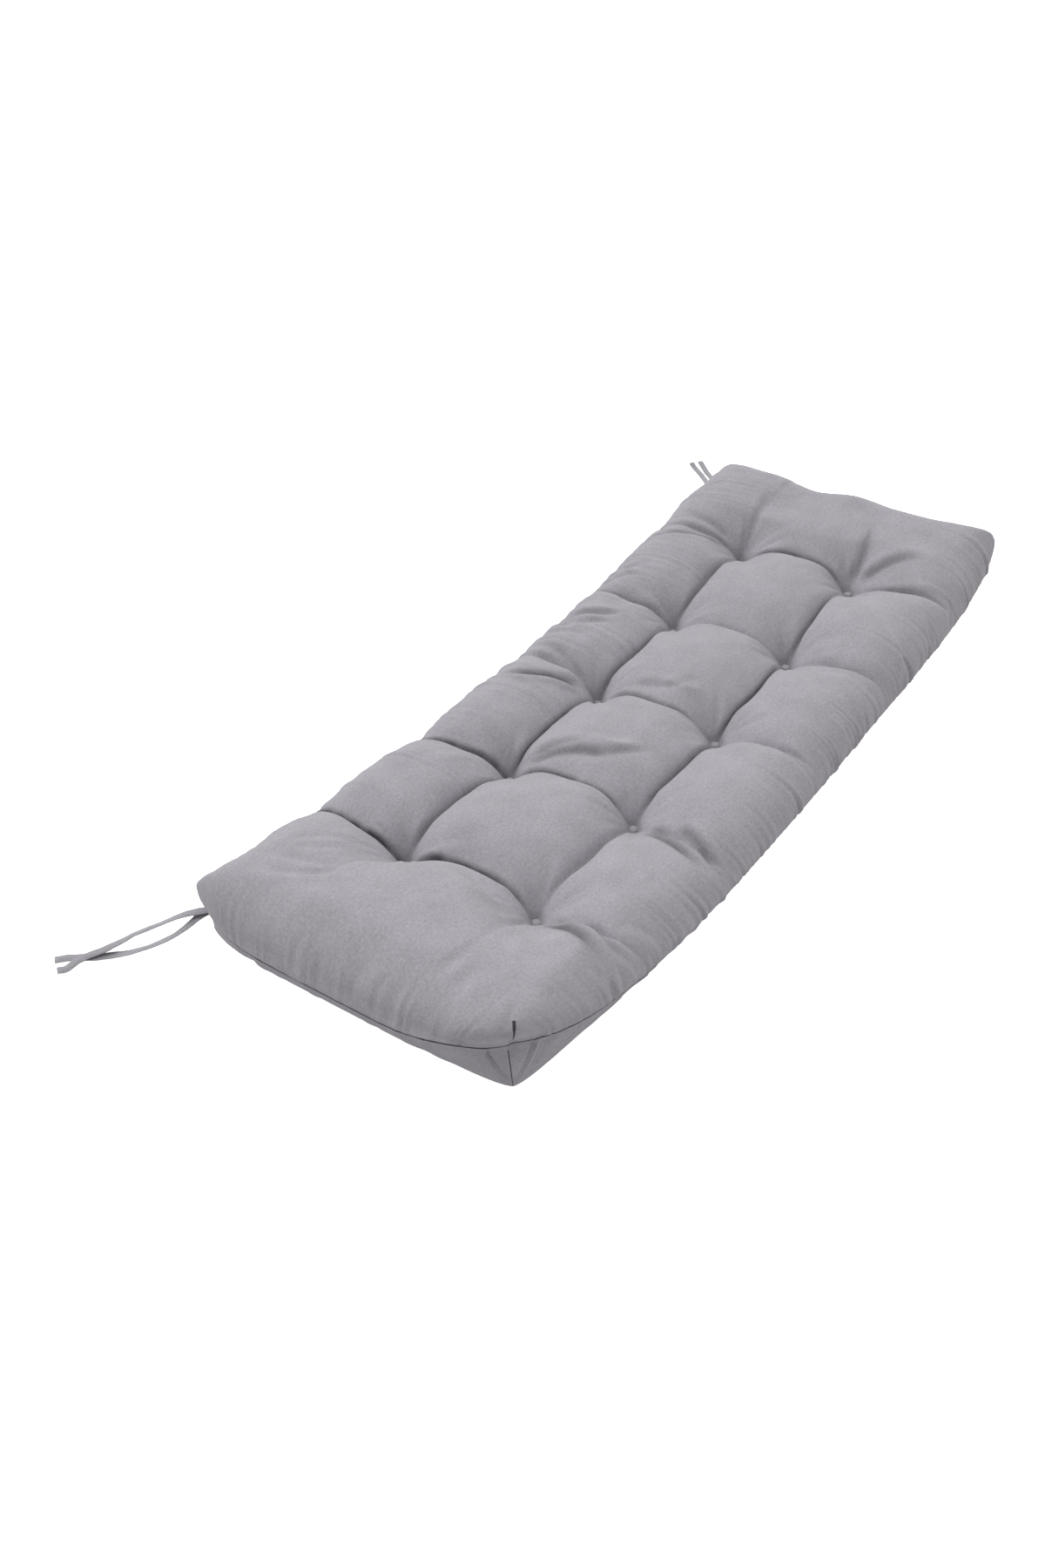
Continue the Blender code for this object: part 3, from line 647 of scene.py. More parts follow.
def column_shift(x_line, y_line):
    """Shift along Y that bends the straight columns, nothing at the tufts and the side seams."""
    between = np.sin(np.pi * x_line / ROW_PITCH) ** 2
    places = (-HALF_WIDTH, -TUFT_COLUMN, TUFT_COLUMN, HALF_WIDTH)
    shift = 0
    for column, peak in zip(COLUMN_LINES, ((0, 0, 1, 0), (0, 1, 0, 0))):
        line = along_column(column, x_line) * between
        shift = shift + np.outer(line, np.interp(y_line, places, peak))
    return shift


def pinch(gap, strength):
    """How far a point moves toward a crease, so that its two sides stand close together.

    The pull is a share of the signed gap that fades as a bell over the pinch's width.
    """
    return -PINCH_SHARE * strength * gap * np.exp(-(gap / PINCH_WIDTH) ** 2)


def pinch_shift(x, y):
    """Shifts along X and Y that close the row and column creases, none near the tufts."""
    shift_x = np.zeros_like(x)
    shift_y = np.zeros_like(y)
    for row, strengths in zip(ROWS, ROW_PINCH):
        strength = np.interp(y, ACROSS_STOPS, strengths[::-1])
        off_seat = 1 - np.exp(-((np.abs(y) - TUFT_COLUMN) / PINCH_CLEAR) ** 2)
        shift_x += pinch(x - row * ROW_PITCH, strength * off_seat)
    from_row = (x / ROW_PITCH + 0.5) % 1 - 0.5
    off_seat = 1 - np.exp(-(from_row * ROW_PITCH / PINCH_CLEAR) ** 2)
    for column in COLUMN_PINCH:
        strength = along_column(column, x) * off_seat
        shift_y += pinch(y - column.side * TUFT_COLUMN, strength)
    return shift_x, shift_y


def tuft_pit(x, y):
    """Depth of the pits that the tufts draw down: cones with rounded rims.

    They run out further toward the near end and the front, where the cloth is drawn over most.
    """
    depth = np.zeros_like(x)
    for row in ROWS:
        for side, reach in ((+1, BACK_PIT), (-1, FRONT_PIT)):
            away_x = x - row * ROW_PITCH
            away_y = y - side * TUFT_COLUMN
            gap = np.hypot(away_x, away_y)
            toward = -(NEAR_FRONT[0] * away_x + NEAR_FRONT[1] * away_y) / np.maximum(gap, 1e-9)
            toward = np.maximum(toward, 0)
            part = np.maximum(gap - SEAT, 0) / (reach + PIT_SPREAD * toward ** 2 - SEAT)
            depth = np.maximum(depth, TUFT_DEPTH * (1 - np.clip(part, 0, 1)) ** 2.5)
    return depth


def creases(x, y):
    """Depth of the tufted pattern: row creases, column creases and the pits at the tufts.

    Each crease is its depth times an arch of the distance from its line. The three kinds are
    joined by the cube root of their cubes' sum, which keeps the deepest and rounds where they meet.
    """
    total = tuft_pit(x, y) ** 3
    for row, depths in zip(ROWS, ROW_DEPTHS):
        depth = np.interp(y, ACROSS_STOPS, depths[::-1])
        total += (depth * pillow_arch(np.abs(x - row * ROW_PITCH), ROW_REACH)) ** 3
    ends = np.clip((np.abs(x) - LAST_ROW) / (HALF_LENGTH - LAST_ROW), 0, 1)
    for column in COLUMN_DEPTHS:
        fading = (1 - ends) ** np.where(x < 0, 2.5, 1)
        depth = along_column(column, x) * fading + FAR_DIP * ends * (x > 0)
        gap = np.abs(y - column.side * TUFT_COLUMN)
        total += (depth * pillow_arch(gap, COLUMN_REACH)) ** 3
    return np.minimum(total ** (1 / 3), TUFT_DEPTH)


def patchy(place, seed, longest):
    """An uneven share along a line, between a half and 1."""
    return np.clip(0.85 + 0.3 * waver(place, seed, longest, 4), 0.5, 1)


def crease_shade_marks(x, y, pattern):
    """Painted shade of the closed creases and the pits, up to 1 on the closed lines and in the pits,
    else 0. It grows with how tightly each place is shut and stands in for the shade inside them.

    Across a line it is a flat-topped bell, wider where the line is fully closed and narrow at the
    tufts, and it wavers along the line.
    """
    marks = PIT_SHADE * np.clip(pattern / TUFT_DEPTH - PIT_FROM, 0, 1) / PIT_SPAN
    stretch = (y > -TUFT_COLUMN).astype(int) + (y > TUFT_COLUMN)
    narrow = 1 - 0.5 * np.exp(-((np.abs(y) - TUFT_COLUMN) / PINCH_CLEAR) ** 2)
    for row, strengths, depths, shades in zip(ROWS, ROW_PINCH, ROW_DEPTHS, ROW_SHADES):
        shut = np.interp(y, ACROSS_STOPS, strengths[::-1])
        deep = np.clip(np.interp(y, ACROSS_STOPS, depths[::-1]) / MARK_DEPTH, 0, 1)
        width = (MARK_WIDTH + MARK_MORE * shut ** 2) * narrow
        line = np.exp(-((x - row * ROW_PITCH) / width) ** 4)
        uneven = patchy(y, ROW_SEED + row, 0.07)
        marks = np.maximum(marks, np.array(shades)[stretch] * shut ** 2 * deep * uneven * line)
    for column in COLUMN_PINCH:
        gap = y - column.side * TUFT_COLUMN
        shut = np.where(np.abs(x) < LAST_ROW, along_column(column, x), 0)
        width = MARK_WIDTH + 0.4 * MARK_MORE * shut ** 2
        uneven = patchy(x, COLUMN_SEED + column.side, 0.09)
        marks = np.maximum(marks, COLUMN_SHADE * shut ** 2 * uneven * np.exp(-(gap / width) ** 4))
    return marks


def pillow_fill(x, y):
    """Each pillow's own fill, zero on its creases."""
    row = np.clip(np.floor(x / ROW_PITCH) + 3, 0, 5).astype(int)
    column = np.where(y < -TUFT_COLUMN, 0, np.where(y > TUFT_COLUMN, 2, 1))
    mound = 1 - pillow_arch(np.abs((x / ROW_PITCH + 0.5) % 1 - 0.5) * ROW_PITCH, MOUND_REACH)
    mound = mound * (1 - pillow_arch(np.abs(np.abs(y) - TUFT_COLUMN), COLUMN_REACH))
    return np.array(PILLOWS)[row, column] * mound


def sag(x):
    """Rise of the cushion toward its ends."""
    return SAG * x ** 2


def grid_lines(reach):
    """Places of the grid lines before the corners are drawn in, and their cloth distances."""
    along, along_tuft, along_total = cloth_lines(
        HALF_LENGTH, LAST_ROW, EDGE_CELLS_ALONG, 4, ROW_CELLS)
    across, across_tuft, across_total = cloth_lines(
        HALF_WIDTH, TUFT_COLUMN, EDGE_CELLS_ACROSS, 1, COLUMN_CELLS)
    x_line, x_near = flat_place(along, along_tuft, along_total, HALF_LENGTH, LAST_ROW, reach)
    y_line, y_near = flat_place(across, across_tuft, across_total, HALF_WIDTH, TUFT_COLUMN, reach)
    return x_line, y_line, x_near, y_near, along, across


def flank_share(x, y, x_near, y_near, boxed):
    """0 at the seams, rising to 1 over the flank, with each corner's ridge rounded by its own power.

    The product of the two distances over the root of their powers' sum is a soft minimum. Toward a
    corner the boxed share rises sooner, which stands its tip out.
    """
    a, b = np.meshgrid(x_near, y_near, indexing="ij")
    power = np.full_like(a, 5.0)
    box = np.zeros_like(a)
    for corner in CORNERS:
        here = in_corner(x, y, corner)
        power = np.where(here, corner.crisp, power)
        box = np.where(here, corner.box, box)
    ratio = np.minimum(a, b) / np.maximum(np.maximum(a, b), 1e-9)
    soft = np.minimum(a, b) / (1 + ratio ** power) ** (1 / power)
    close = np.clip(1 - np.maximum(a, b) / BOX_REACH, 0, 1)
    sooner = 1 + boxed * box * close * close * (3 - 2 * close)
    return np.clip(soft * sooner / FLANK_CLOTH, 0, 1)


def far_crests(x, y):
    """How far the far end's roll rises and dips, a smooth curve across that fades inwards."""
    curve = smooth_route(FAR_CRESTS, 80)
    return np.interp(y, curve[:, 0], curve[:, 1]) * np.clip(x / HALF_LENGTH, 0, 1) ** 6


def top_panel():
    """Points of the top panel, its crease depths and the marks of its painted crease shade, and its cloth
    coordinates.
    """
    x_line, y_line, x_near, y_near, along, across = grid_lines(TOP_ROUND)
    x, y = np.meshgrid(x_line, y_line, indexing="ij")
    rise = np.sin(flank_share(x, y, x_near, y_near, 1) * np.pi / 2)
    pattern = creases(x, y)
    pinch_x, pinch_y = pinch_shift(x, y)
    wide = y + column_shift(x_line, y_line) + pinch_y * rise
    long = end_line(x) + row_shift(x_line, y_line) * (0.3 + 0.7 * rise) + pinch_x * rise
    plan_x, plan_y = corner_pull(long, edge_line(x, wide), 1 - 0.75 * rise)
    seam_height = SEAM_HEIGHT + corner_lift(x, y) * (1 - rise)
    full = CROWN + pillow_fill(x, y) + far_crests(x, y)
    height = seam_height + rise * (full - pattern) + sag(plan_x)
    bulge = SEAM_TUCK * np.sin(rise * np.pi)
    on_x = x / HALF_LENGTH
    on_y = y / HALF_WIDTH
    plan_x = plan_x + bulge * on_x ** 7 * (1 - on_y ** 6)
    plan_y = plan_y + bulge * on_y ** 5 * (1 - on_x ** 10)
    cloth = np.stack(np.meshgrid(along, across, indexing="ij"), axis=-1)
    marks = crease_shade_marks(x, y, pattern) * rise
    return np.stack([plan_x, plan_y, height], axis=-1), pattern, marks, cloth


def under_panel():
    """Points of the under panel on the same grid: a slanting flank, a flat base and faint pits."""
    x_line, y_line, x_near, y_near, along, across = grid_lines(BELLY_ROUND)
    x, y = np.meshgrid(x_line, y_line, indexing="ij")
    flank = flank_share(x, y, x_near, y_near, 0)
    rise = flank * (1.15 - 0.15 * flank)
    pattern = creases(x, y)
    long = end_line(x) + row_shift(x_line, y_line) * 0.3
    plan_x, plan_y = corner_pull(long, edge_line(x, y), 1 - 0.75 * rise)
    seam_height = SEAM_HEIGHT + corner_lift(x, y) * (1 - rise)
    height = seam_height - rise * (BELLY - UNDER_SHARE * pattern) + sag(plan_x)
    swell = np.sin(np.pi * flank ** 0.6)
    plan_x = plan_x - NEAR_BULGE * swell * (1 - (y / HALF_WIDTH) ** 8) * (x < -LAST_ROW)
    swell = swell * np.clip(-x / HALF_LENGTH, 0, 1)
    plan_y = plan_y - FRONT_BULGE * swell * (1 - (x / HALF_LENGTH) ** 8) * (y < -TUFT_COLUMN)
    points = np.stack([plan_x, plan_y, np.maximum(height, 0.0)], axis=-1)
    cloth = np.stack(np.meshgrid(along, across, indexing="ij"), axis=-1)
    away = np.minimum(cloth, cloth[-1, -1] - cloth).min(axis=-1)
    ripple = gathers(cloth, cloth[-1, -1], UNDER_GATHERS)
    ripple = ripple * np.clip((UNDER_GATHER_END - away) / UNDER_GATHER_FADE, 0, 1)
    return points + grid_normals(points) * (ripple * (away > 0))[..., None]


# Settling, folds and puckers

def grid_quads(rows, columns):
    """Quads over a grid of point numbers, facing up."""
    index = np.arange(rows * columns).reshape(rows, columns)
    corners = [index[:-1, :-1], index[1:, :-1], index[1:, 1:], index[:-1, 1:]]
    return np.stack(corners, axis=-1).reshape(-1, 4)


def settle(points, pattern, marks):
    """Lets spare cloth wrinkle under the fill's pressure, held at the seam, tufts and creases.

    Each point then keeps at most its share of the longest move, none at the corners.
    """
    rows, columns = points.shape[:2]
    mesh = bpy.data.meshes.new("settling")
    mesh.from_pydata(points.reshape(-1, 3).tolist(), [], grid_quads(rows, columns).tolist())
    sheet = bpy.data.objects.new("settling", mesh)
    bpy.context.collection.objects.link(sheet)
    sheet.shape_key_add(name="laid")
    cut = sheet.shape_key_add(name="cut")
    cut.data.foreach_set("co", (points * SPARE_CLOTH).ravel())

    held = np.zeros((rows, columns))
    row_at = EDGE_CELLS_ALONG + ROW_CELLS * np.arange(5)
    column_at = EDGE_CELLS_ACROSS + COLUMN_CELLS * np.arange(2)
    for place in row_at:
        held[place] = np.clip(pattern[place] / TUFT_DEPTH, 0, 1)
    for place in column_at:
        held[:, place] = np.maximum(held[:, place], np.clip(pattern[:, place] / TUFT_DEPTH, 0, 1))
    held = np.where(held > TUFT_HOLD, 1.0, held * CREASE_HOLD)
    held = np.maximum(held, np.clip(marks * MARK_HOLD, 0, 1))
    held[[0, -1], :] = 1.0
    held[:, [0, -1]] = 1.0
    group = sheet.vertex_groups.new(name="held")
    level = np.round(held.ravel() * HOLD_STEPS).astype(int)
    for step in range(1, HOLD_STEPS + 1):
        group.add(np.flatnonzero(level == step).tolist(), step / HOLD_STEPS, "REPLACE")

    modifier = sheet.modifiers.new("cloth", "CLOTH")
    cloth = modifier.settings
    for name, value in SETTLING.items():
        setattr(cloth, name, value)
    cloth.rest_shape_key = cut
    cloth.effector_weights.gravity = 0.0
    modifier.collision_settings.use_collision = False
    modifier.point_cache.frame_start = 1
    modifier.point_cache.frame_end = SETTLE_FRAMES
    scene = bpy.context.scene
    for step in range(1, SETTLE_FRAMES + 1):
        scene.frame_set(step)
    settled = sheet.evaluated_get(bpy.context.evaluated_depsgraph_get())
    flat = np.empty(rows * columns * 3)
    settled.data.vertices.foreach_get("co", flat)
    bpy.data.objects.remove(sheet, do_unlink=True)
    bpy.data.meshes.remove(mesh)
    scene.frame_set(1)
    move = flat.reshape(points.shape) - points
    length = np.linalg.norm(move, axis=-1, keepdims=True)
    corner = (np.abs(points[..., 0]) / HALF_LENGTH) ** 6 * (np.abs(points[..., 1]) / HALF_WIDTH) ** 3
    most = MOST_MOVE * np.clip(1.1 - 2.2 * corner, 0, 1) * np.clip(1.25 - pattern / TUFT_DEPTH, 0, 1)
    most = most[..., None]
    return points + move * (np.minimum(length, most) / np.maximum(length, 1e-9))


def fold_profile(points, fold):
    """Depth of one fold at each point: a bell across it, with a lower ridge along its far side.

    The signed distance from the fold's smooth route is measured piece by piece in plan. Along the
    route the depth swells from the first end and runs out at the last. The fold's painted shade
    comes with it: a wider bell, so that both walls are darkened in colour.
    """
    route = smooth_route(fold.route, FOLD_PIECES)
    best = np.full(len(points), 1e9)
    share = np.zeros(len(points))
    side = np.ones(len(points))
    pieces = len(route) - 1
    for k in range(pieces):
        start = route[k]
        step = route[k + 1] - start
        away = points - start
        t = np.clip(away @ step / (step @ step), 0, 1)
        gap = np.linalg.norm(away - t[:, None] * step, axis=1)
        closer = gap < best
        best = np.where(closer, gap, best)
        share = np.where(closer, (k + t) / pieces, share)
        side = np.where(closer, np.sign(step[0] * away[:, 1] - step[1] * away[:, 0]), side)
    swell = np.clip(np.minimum(share / FOLD_RISE, (1 - share) / FOLD_FALL), 0, 1)
    swell = swell * swell * (3 - 2 * swell)
    across = np.exp(-(best / fold.width) ** 1.4)
    ridge = np.exp(-((side * best - RIDGE_OFF * fold.width) / (RIDGE_WIDTH * fold.width)) ** 2)
    dark = FOLD_SHADE * np.clip((fold.depth - SHADE_FROM) / SHADE_SPAN, 0, 1)
    shade = dark * swell * np.exp(-(best / (SHADE_REACH * fold.width)) ** 2)
    return fold.depth * swell * (across - RIDGE_SHARE * ridge), shade


def waver(place, seed, longest, count):
    """A smooth uneven line along a distance, about -1 to 1: a sum of sines of random phase."""
    draw = np.random.default_rng(seed)
    phases = draw.uniform(0, 2 * np.pi, count)
    scales = longest / (1 + np.arange(count) * draw.uniform(0.7, 1.1, count))
    waves = [np.sin(place * 2 * np.pi / scale + phase) for scale, phase in zip(scales, phases)]
    return sum(waves) / np.sqrt(count)


def gathers(cloth, total, table):
    """Depth of the small puckers that run in from the seams, most where the cloth is fullest.

    Across each seam's length they are a sine whose phase drifts, with a strength that comes and
    goes along the seam, and they fade quickly inwards.
    """
    depth = np.zeros(cloth.shape[:2])
    for gather in table:
        along, across = (0, 1) if gather.edge in ("front", "back") else (1, 0)
        place = cloth[..., along]
        away = cloth[..., across]
        if gather.edge in ("back", "far"):
            away = total[across] - away
        lean = GATHER_LEAN * away * waver(place, gather.seed + 1, *LEAN_WAVES)
        drift = GATHER_DRIFT * waver(place, gather.seed, *DRIFT_WAVES) + lean
        strength = np.clip(0.30 + 0.8 * waver(place, gather.seed + 2, *STRENGTH_WAVES), 0, 1.4)
        strength = strength * np.interp(place / total[along], (0, 0.5, 1), gather.share)
        ends = np.clip(np.minimum(place, total[along] - place) / GATHER_ENDS, 0, 1)
        wave = np.sin(2 * np.pi * place / gather.spacing + drift)
        near = 1.3 * np.exp(-away / gather.reach * 1.4) * np.clip(away / GATHER_FROM, 0.30, 1)
        depth += gather.depth * strength * wave * near * ends
    return depth


def lumps(cloth):
    """Uneven fill: broad shallow waves in several directions, each of random phase."""
    draw = np.random.default_rng(LUMP_SEED)
    height = np.zeros(cloth.shape[:2])
    for scale in LUMP_SIZES:
        angle = draw.uniform(0, np.pi)
        phase = draw.uniform(0, 2 * np.pi)
        across = cloth[..., 0] * np.cos(angle) + cloth[..., 1] * np.sin(angle)
        height += scale * np.sin(across * 2 * np.pi / scale + phase)
    return height * LUMP_SHARE


def drag_lines(plan):
    """Depth of the fine lines that the cloth is drawn into round every tuft.

    Round each tuft they are three waves of the angle, with random phases and leans, that rise a
    little way off the tuft and fade over their reach.
    """
    draw = np.random.default_rng(DRAG_SEED)
    depth = np.zeros(len(plan))
    for row in ROWS:
        for side in (-1, 1):
            away = plan - np.array([row * ROW_PITCH, side * TUFT_COLUMN]) - np.array(TUFT_MIDDLE[:2])
            gap = np.linalg.norm(away, axis=1)
            angle = np.arctan2(away[:, 1], away[:, 0])
            near = np.clip(gap / DRAG_FROM - 0.6, 0, 1) * np.exp(-(gap / DRAG_REACH) ** 2)
            for count in DRAG_COUNTS:
                phase = draw.uniform(0, 2 * np.pi)
                lean = draw.uniform(-DRAG_LEAN, DRAG_LEAN)
                depth += near * np.sin(angle * count + phase + lean * gap)
    return depth * DRAG_DEPTH


def grid_normals(points):
    """Unit normals of a grid of points, from the differences along its two directions."""
    normal = np.cross(np.gradient(points, axis=0), np.gradient(points, axis=1))
    return normal / np.maximum(np.linalg.norm(normal, axis=-1, keepdims=True), 1e-12)


def wrinkle(points, cloth):
    """Adds the folds, the gathers at the seams and the uneven fill, all along the normals.

    It also gives each fold's painted shade, which grows with its depth.
    """
    rows, columns = points.shape[:2]
    plan = points[..., :2].reshape(-1, 2) + np.array(TUFT_MIDDLE[:2])
    depth = np.zeros(len(plan))
    shade = np.zeros(len(plan))
    for fold in FOLDS:
        fold_depth, fold_shade = fold_profile(plan, fold)
        depth += fold_depth
        shade = np.maximum(shade, fold_shade)
    depth += drag_lines(plan)
    total = cloth[-1, -1]
    near = np.minimum(cloth, total - cloth).min(axis=-1)
    inner = np.clip(near / LUMP_CLEAR, 0, 1)
    depth = depth.reshape(rows, columns) * np.clip(near / FOLD_CLEAR, 0, 1)
    depth += gathers(cloth, total, GATHERS) - lumps(cloth) * inner
    return points - grid_normals(points) * depth[..., None], shade.reshape(rows, columns)


def halve(values):
    """Puts a new grid line midway between each two, on a smooth curve through four of them."""
    for axis in (0, 1):
        v = np.moveaxis(values, axis, 0)
        before = np.concatenate([2 * v[:1] - v[1:2], v[:-2]])
        after = np.concatenate([v[2:], 2 * v[-1:] - v[-2:-1]])
        middle = (9 * (v[:-1] + v[1:]) - before - after) / 16
        fine = np.empty((2 * len(v) - 1,) + v.shape[1:])
        fine[0::2] = v
        fine[1::2] = middle
        values = np.moveaxis(fine, 0, axis)
    return values


# The cover, the buttons and the ties

def under_faces(rows, columns, top_index, under_index):
    """Faces of the under panel, half as fine as the top's, with the seam's points all used."""
    faces = []
    wide, deep = rows - 1, columns - 1
    for i in range(wide):
        for j in range(deep):
            a, b = under_index[i, j], under_index[i + 1, j]
            c, d = under_index[i + 1, j + 1], under_index[i, j + 1]
            ring = []
            for point, at_seam, row, column in ((a, j == 0, 2 * i + 1, 0),
                                                (b, i == wide - 1, -1, 2 * j + 1),
                                                (c, j == deep - 1, 2 * i + 1, -1),
                                                (d, i == 0, 0, 2 * j + 1)):
                ring.append(point)
                if at_seam:
                    ring.append(top_index[row, column])
            if (i, j) in ((0, 0), (wide - 1, deep - 1)):
                first, last = sorted((ring.index(a), ring.index(c)))
            elif (i, j) in ((wide - 1, 0), (0, deep - 1)):
                first, last = sorted((ring.index(b), ring.index(d)))
            else:
                faces.append(tuple(int(n) for n in ring[::-1]))
                continue
            for half in (ring[first:last + 1], ring[last:] + ring[:first + 1]):
                faces.append(tuple(int(n) for n in half[::-1]))
    return faces


def add_mesh(name, points, faces, uv):
    """A smooth mesh with each point's place on the cloth as its UV map."""
    mesh = bpy.data.meshes.new(name)
    mesh.from_pydata(points.tolist(), [], faces)
    corner = np.empty(len(mesh.loops), dtype=np.int32)
    mesh.loops.foreach_get("vertex_index", corner)
    layer = mesh.uv_layers.new(name="cloth")
    layer.data.foreach_set("uv", uv[corner].ravel())
    mesh.shade_smooth()
    mesh.update()
    item = bpy.data.objects.new(name, mesh)
    bpy.context.collection.objects.link(item)
    return item


def add_seam_marks(cover, uvs, top_count):
    """Stores each point's distance from the rim, from its corner's dart, and along the dart.

    A gaping dart end has its distances divided, so that its dark line shows wider, as painted shade of the
    gap.
    """
    size = uvs.max(axis=0)
    near = np.minimum(uvs, size - uvs)
    share = np.full(len(uvs), PAST_DART)
    aside = (near[:, 0] - near[:, 1]) * np.sqrt(0.5)
    on_top = np.arange(len(uvs)) < top_count
    for corner in CORNERS:
        here = in_corner(uvs[:, 0] - size[0] / 2, uvs[:, 1] - size[1] / 2, corner)
        length = np.where(on_top, corner.dart, DART_UNDER)
        share = np.where(here, near.sum(axis=1) / 2 / length, share)
        gape = corner.slit * np.clip((share - SLIT_FROM) / SLIT_SPAN, 0, 1)
        aside = np.where(here & on_top, aside * (1 - gape), aside)
    marks = np.stack([near.min(axis=1), aside, share], axis=-1)
    layer = cover.data.attributes.new("seam", "FLOAT_VECTOR", "POINT")
    layer.data.foreach_set("vector", marks.ravel())


def add_painted_crease_shade(cover, count, marks):
    """Stores the painted shade of each top point's closed creases, pits and folds, and none for the under
    panel.
    """
    values = np.zeros(count)
    values[:marks.size] = np.clip(marks.ravel(), 0, 1)
    layer = cover.data.attributes.new("crease", "FLOAT", "POINT")
    layer.data.foreach_set("value", values)


def cushion_cover(material):
    """The whole cover as one mesh: the settled, halved and wrinkled top, and the under panel."""
    top, pattern, marks, cloth = top_panel()
    top = settle(top, pattern, marks)
    under = under_panel()
    uv = halve(cloth)
    top, shade = wrinkle(halve(top), uv)
    rows, columns = top.shape[:2]
    top_index = np.arange(rows * columns).reshape(rows, columns)
    under_index = top_index[::2, ::2].copy()
    inner = under_index[1:-1, 1:-1]
    under_index[1:-1, 1:-1] = rows * columns + np.arange(inner.size).reshape(inner.shape)
    points = np.concatenate([top.reshape(-1, 3), under[1:-1, 1:-1].reshape(-1, 3)])
    points = points + np.array(TUFT_MIDDLE)
    points[:, 2] = np.maximum(points[:, 2], 0.0)
    uvs = np.concatenate([uv.reshape(-1, 2), cloth[1:-1, 1:-1].reshape(-1, 2)])
    faces = [tuple(q) for q in grid_quads(rows, columns).tolist()]
    faces += under_faces(*under_index.shape, top_index, under_index)
    cover = add_mesh("cushion_cover", points, faces, uvs)
    add_seam_marks(cover, uvs, rows * columns)
    # The painted shade of the closed creases, the pits and the folds.
    add_painted_crease_shade(cover, points.shape[0], np.maximum(halve(marks), shade))
    cover.data.materials.append(material)
    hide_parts("cushion_body")
    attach(cover, "root")


def surface_faces(rows, columns, closed):
    """Quads over rows of points, each row an open line or a closed ring, facing outwards."""
    last = columns if closed else columns - 1
    i, j = np.meshgrid(np.arange(rows - 1), np.arange(last), indexing="ij")
    k = (j + 1) % columns
    corners = [i * columns + j, i * columns + k, (i + 1) * columns + k, (i + 1) * columns + j]
    return [tuple(q) for q in np.stack(corners, axis=-1).reshape(-1, 4).tolist()]


def tuft_button(number, material):
    """A small cloth-covered dome on its tuft.

    Its profile is turned about Z, and the cover's gathers are ripples that fade toward the crown.
    """
    node = "tuft_button_%d" % number
    low, high = (np.array(corner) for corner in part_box(node))
    centre = (low + high) / 2
    radius = (high[0] - low[0]) / 2
    tall = high[2] - low[2]
    sink = BUTTON_SINK[0] if number <= 5 else BUTTON_SINK[1]
    curve = smooth_route(BUTTON_PROFILE, BUTTON_RINGS)
    angle = np.linspace(0, 2 * np.pi, BUTTON_SIDES, endpoint=False)
    out, up = curve[:, :1], curve[:, 1:]
    ripple = 1 + BUTTON_RIPPLE * np.sin(angle * BUTTON_PUCKERS + number) * np.clip(out - 0.5, 0, 1)
    points = np.stack(np.broadcast_arrays(centre[0] + radius * out * ripple * np.cos(angle),
                                          centre[1] + radius * out * ripple * np.sin(angle),
                                          low[2] - sink + tall * up), axis=-1)
    rows = len(curve)
    faces = surface_faces(rows, BUTTON_SIDES, closed=True)
    faces.append(tuple(range(BUTTON_SIDES))[::-1])
    faces.append(tuple(range((rows - 1) * BUTTON_SIDES, rows * BUTTON_SIDES)))
    points = points.reshape(-1, 3)
    item = add_mesh("button_cover_%d" % number, points, faces, points[:, :2])
    item.data.materials.append(material)
    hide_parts(node)
    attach(item, "root")


def tie_strip(tie, material):
    """A flat strip of folded cloth along its route.

    The section is a flat oval with a stitched groove along one edge, carried level along the route,
    and its two ends are closed and slightly thinner.
    """
    path = smooth_route(tie.route, TIE_STATIONS)
    ahead = np.gradient(path, axis=0)
    ahead /= np.linalg.norm(ahead, axis=1, keepdims=True)
    side = np.cross(ahead, (0, 0, 1))
    side /= np.linalg.norm(side, axis=1, keepdims=True)
    up = np.cross(side, ahead)
    across, above = np.array(TIE_SECTION).T
    across = np.concatenate([across, across[-2:0:-1]]) * TIE_WIDTH
    above = np.concatenate([above, -above[-2:0:-1]]) * TIE_THICKNESS
    run = np.linspace(0, tie.length, TIE_STATIONS)
    uneven = 1 + TIE_UNEVEN * np.sin(run * 310 + tie.length * 50) * np.sin(run * 93)
    closing = np.clip(np.minimum(run, tie.length - run) / TIE_CLOSING, 0, 1)
    thick = TIE_END + (1 - TIE_END) * np.sqrt(closing)
    points = (path[:, None]
              + (across * uneven[:, None])[..., None] * side[:, None]
              + (above * thick[:, None])[..., None] * up[:, None])
    points[..., 2] = np.maximum(points[..., 2], FLOOR_GAP)
    ring = len(across)
    faces = surface_faces(TIE_STATIONS, ring, closed=True)
    faces.append(tuple(range(ring))[::-1])
    faces.append(tuple(range((TIE_STATIONS - 1) * ring, TIE_STATIONS * ring)))
    uv = np.stack(np.broadcast_arrays(run[:, None], across[None]), axis=-1).reshape(-1, 2)
    strip = add_mesh(tie.name + "_strip", points.reshape(-1, 3), faces, uv)
    strip.data.materials.append(material)
    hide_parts(tie.name)
    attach(strip, "root")


# Materials

def new_group(name, inputs, outputs):
    """An empty node group with float inputs, given as name and default, and named outputs."""
    group = bpy.data.node_groups.new(name, "ShaderNodeTree")
    for label, value in inputs:
        socket = group.interface.new_socket(label, in_out="INPUT", socket_type="NodeSocketFloat")
        socket.default_value = value
    for label, kind in outputs:
        group.interface.new_socket(label, in_out="OUTPUT", socket_type=kind)
    group.nodes.new("NodeGroupInput")
    group.nodes.new("NodeGroupOutput")
    return group


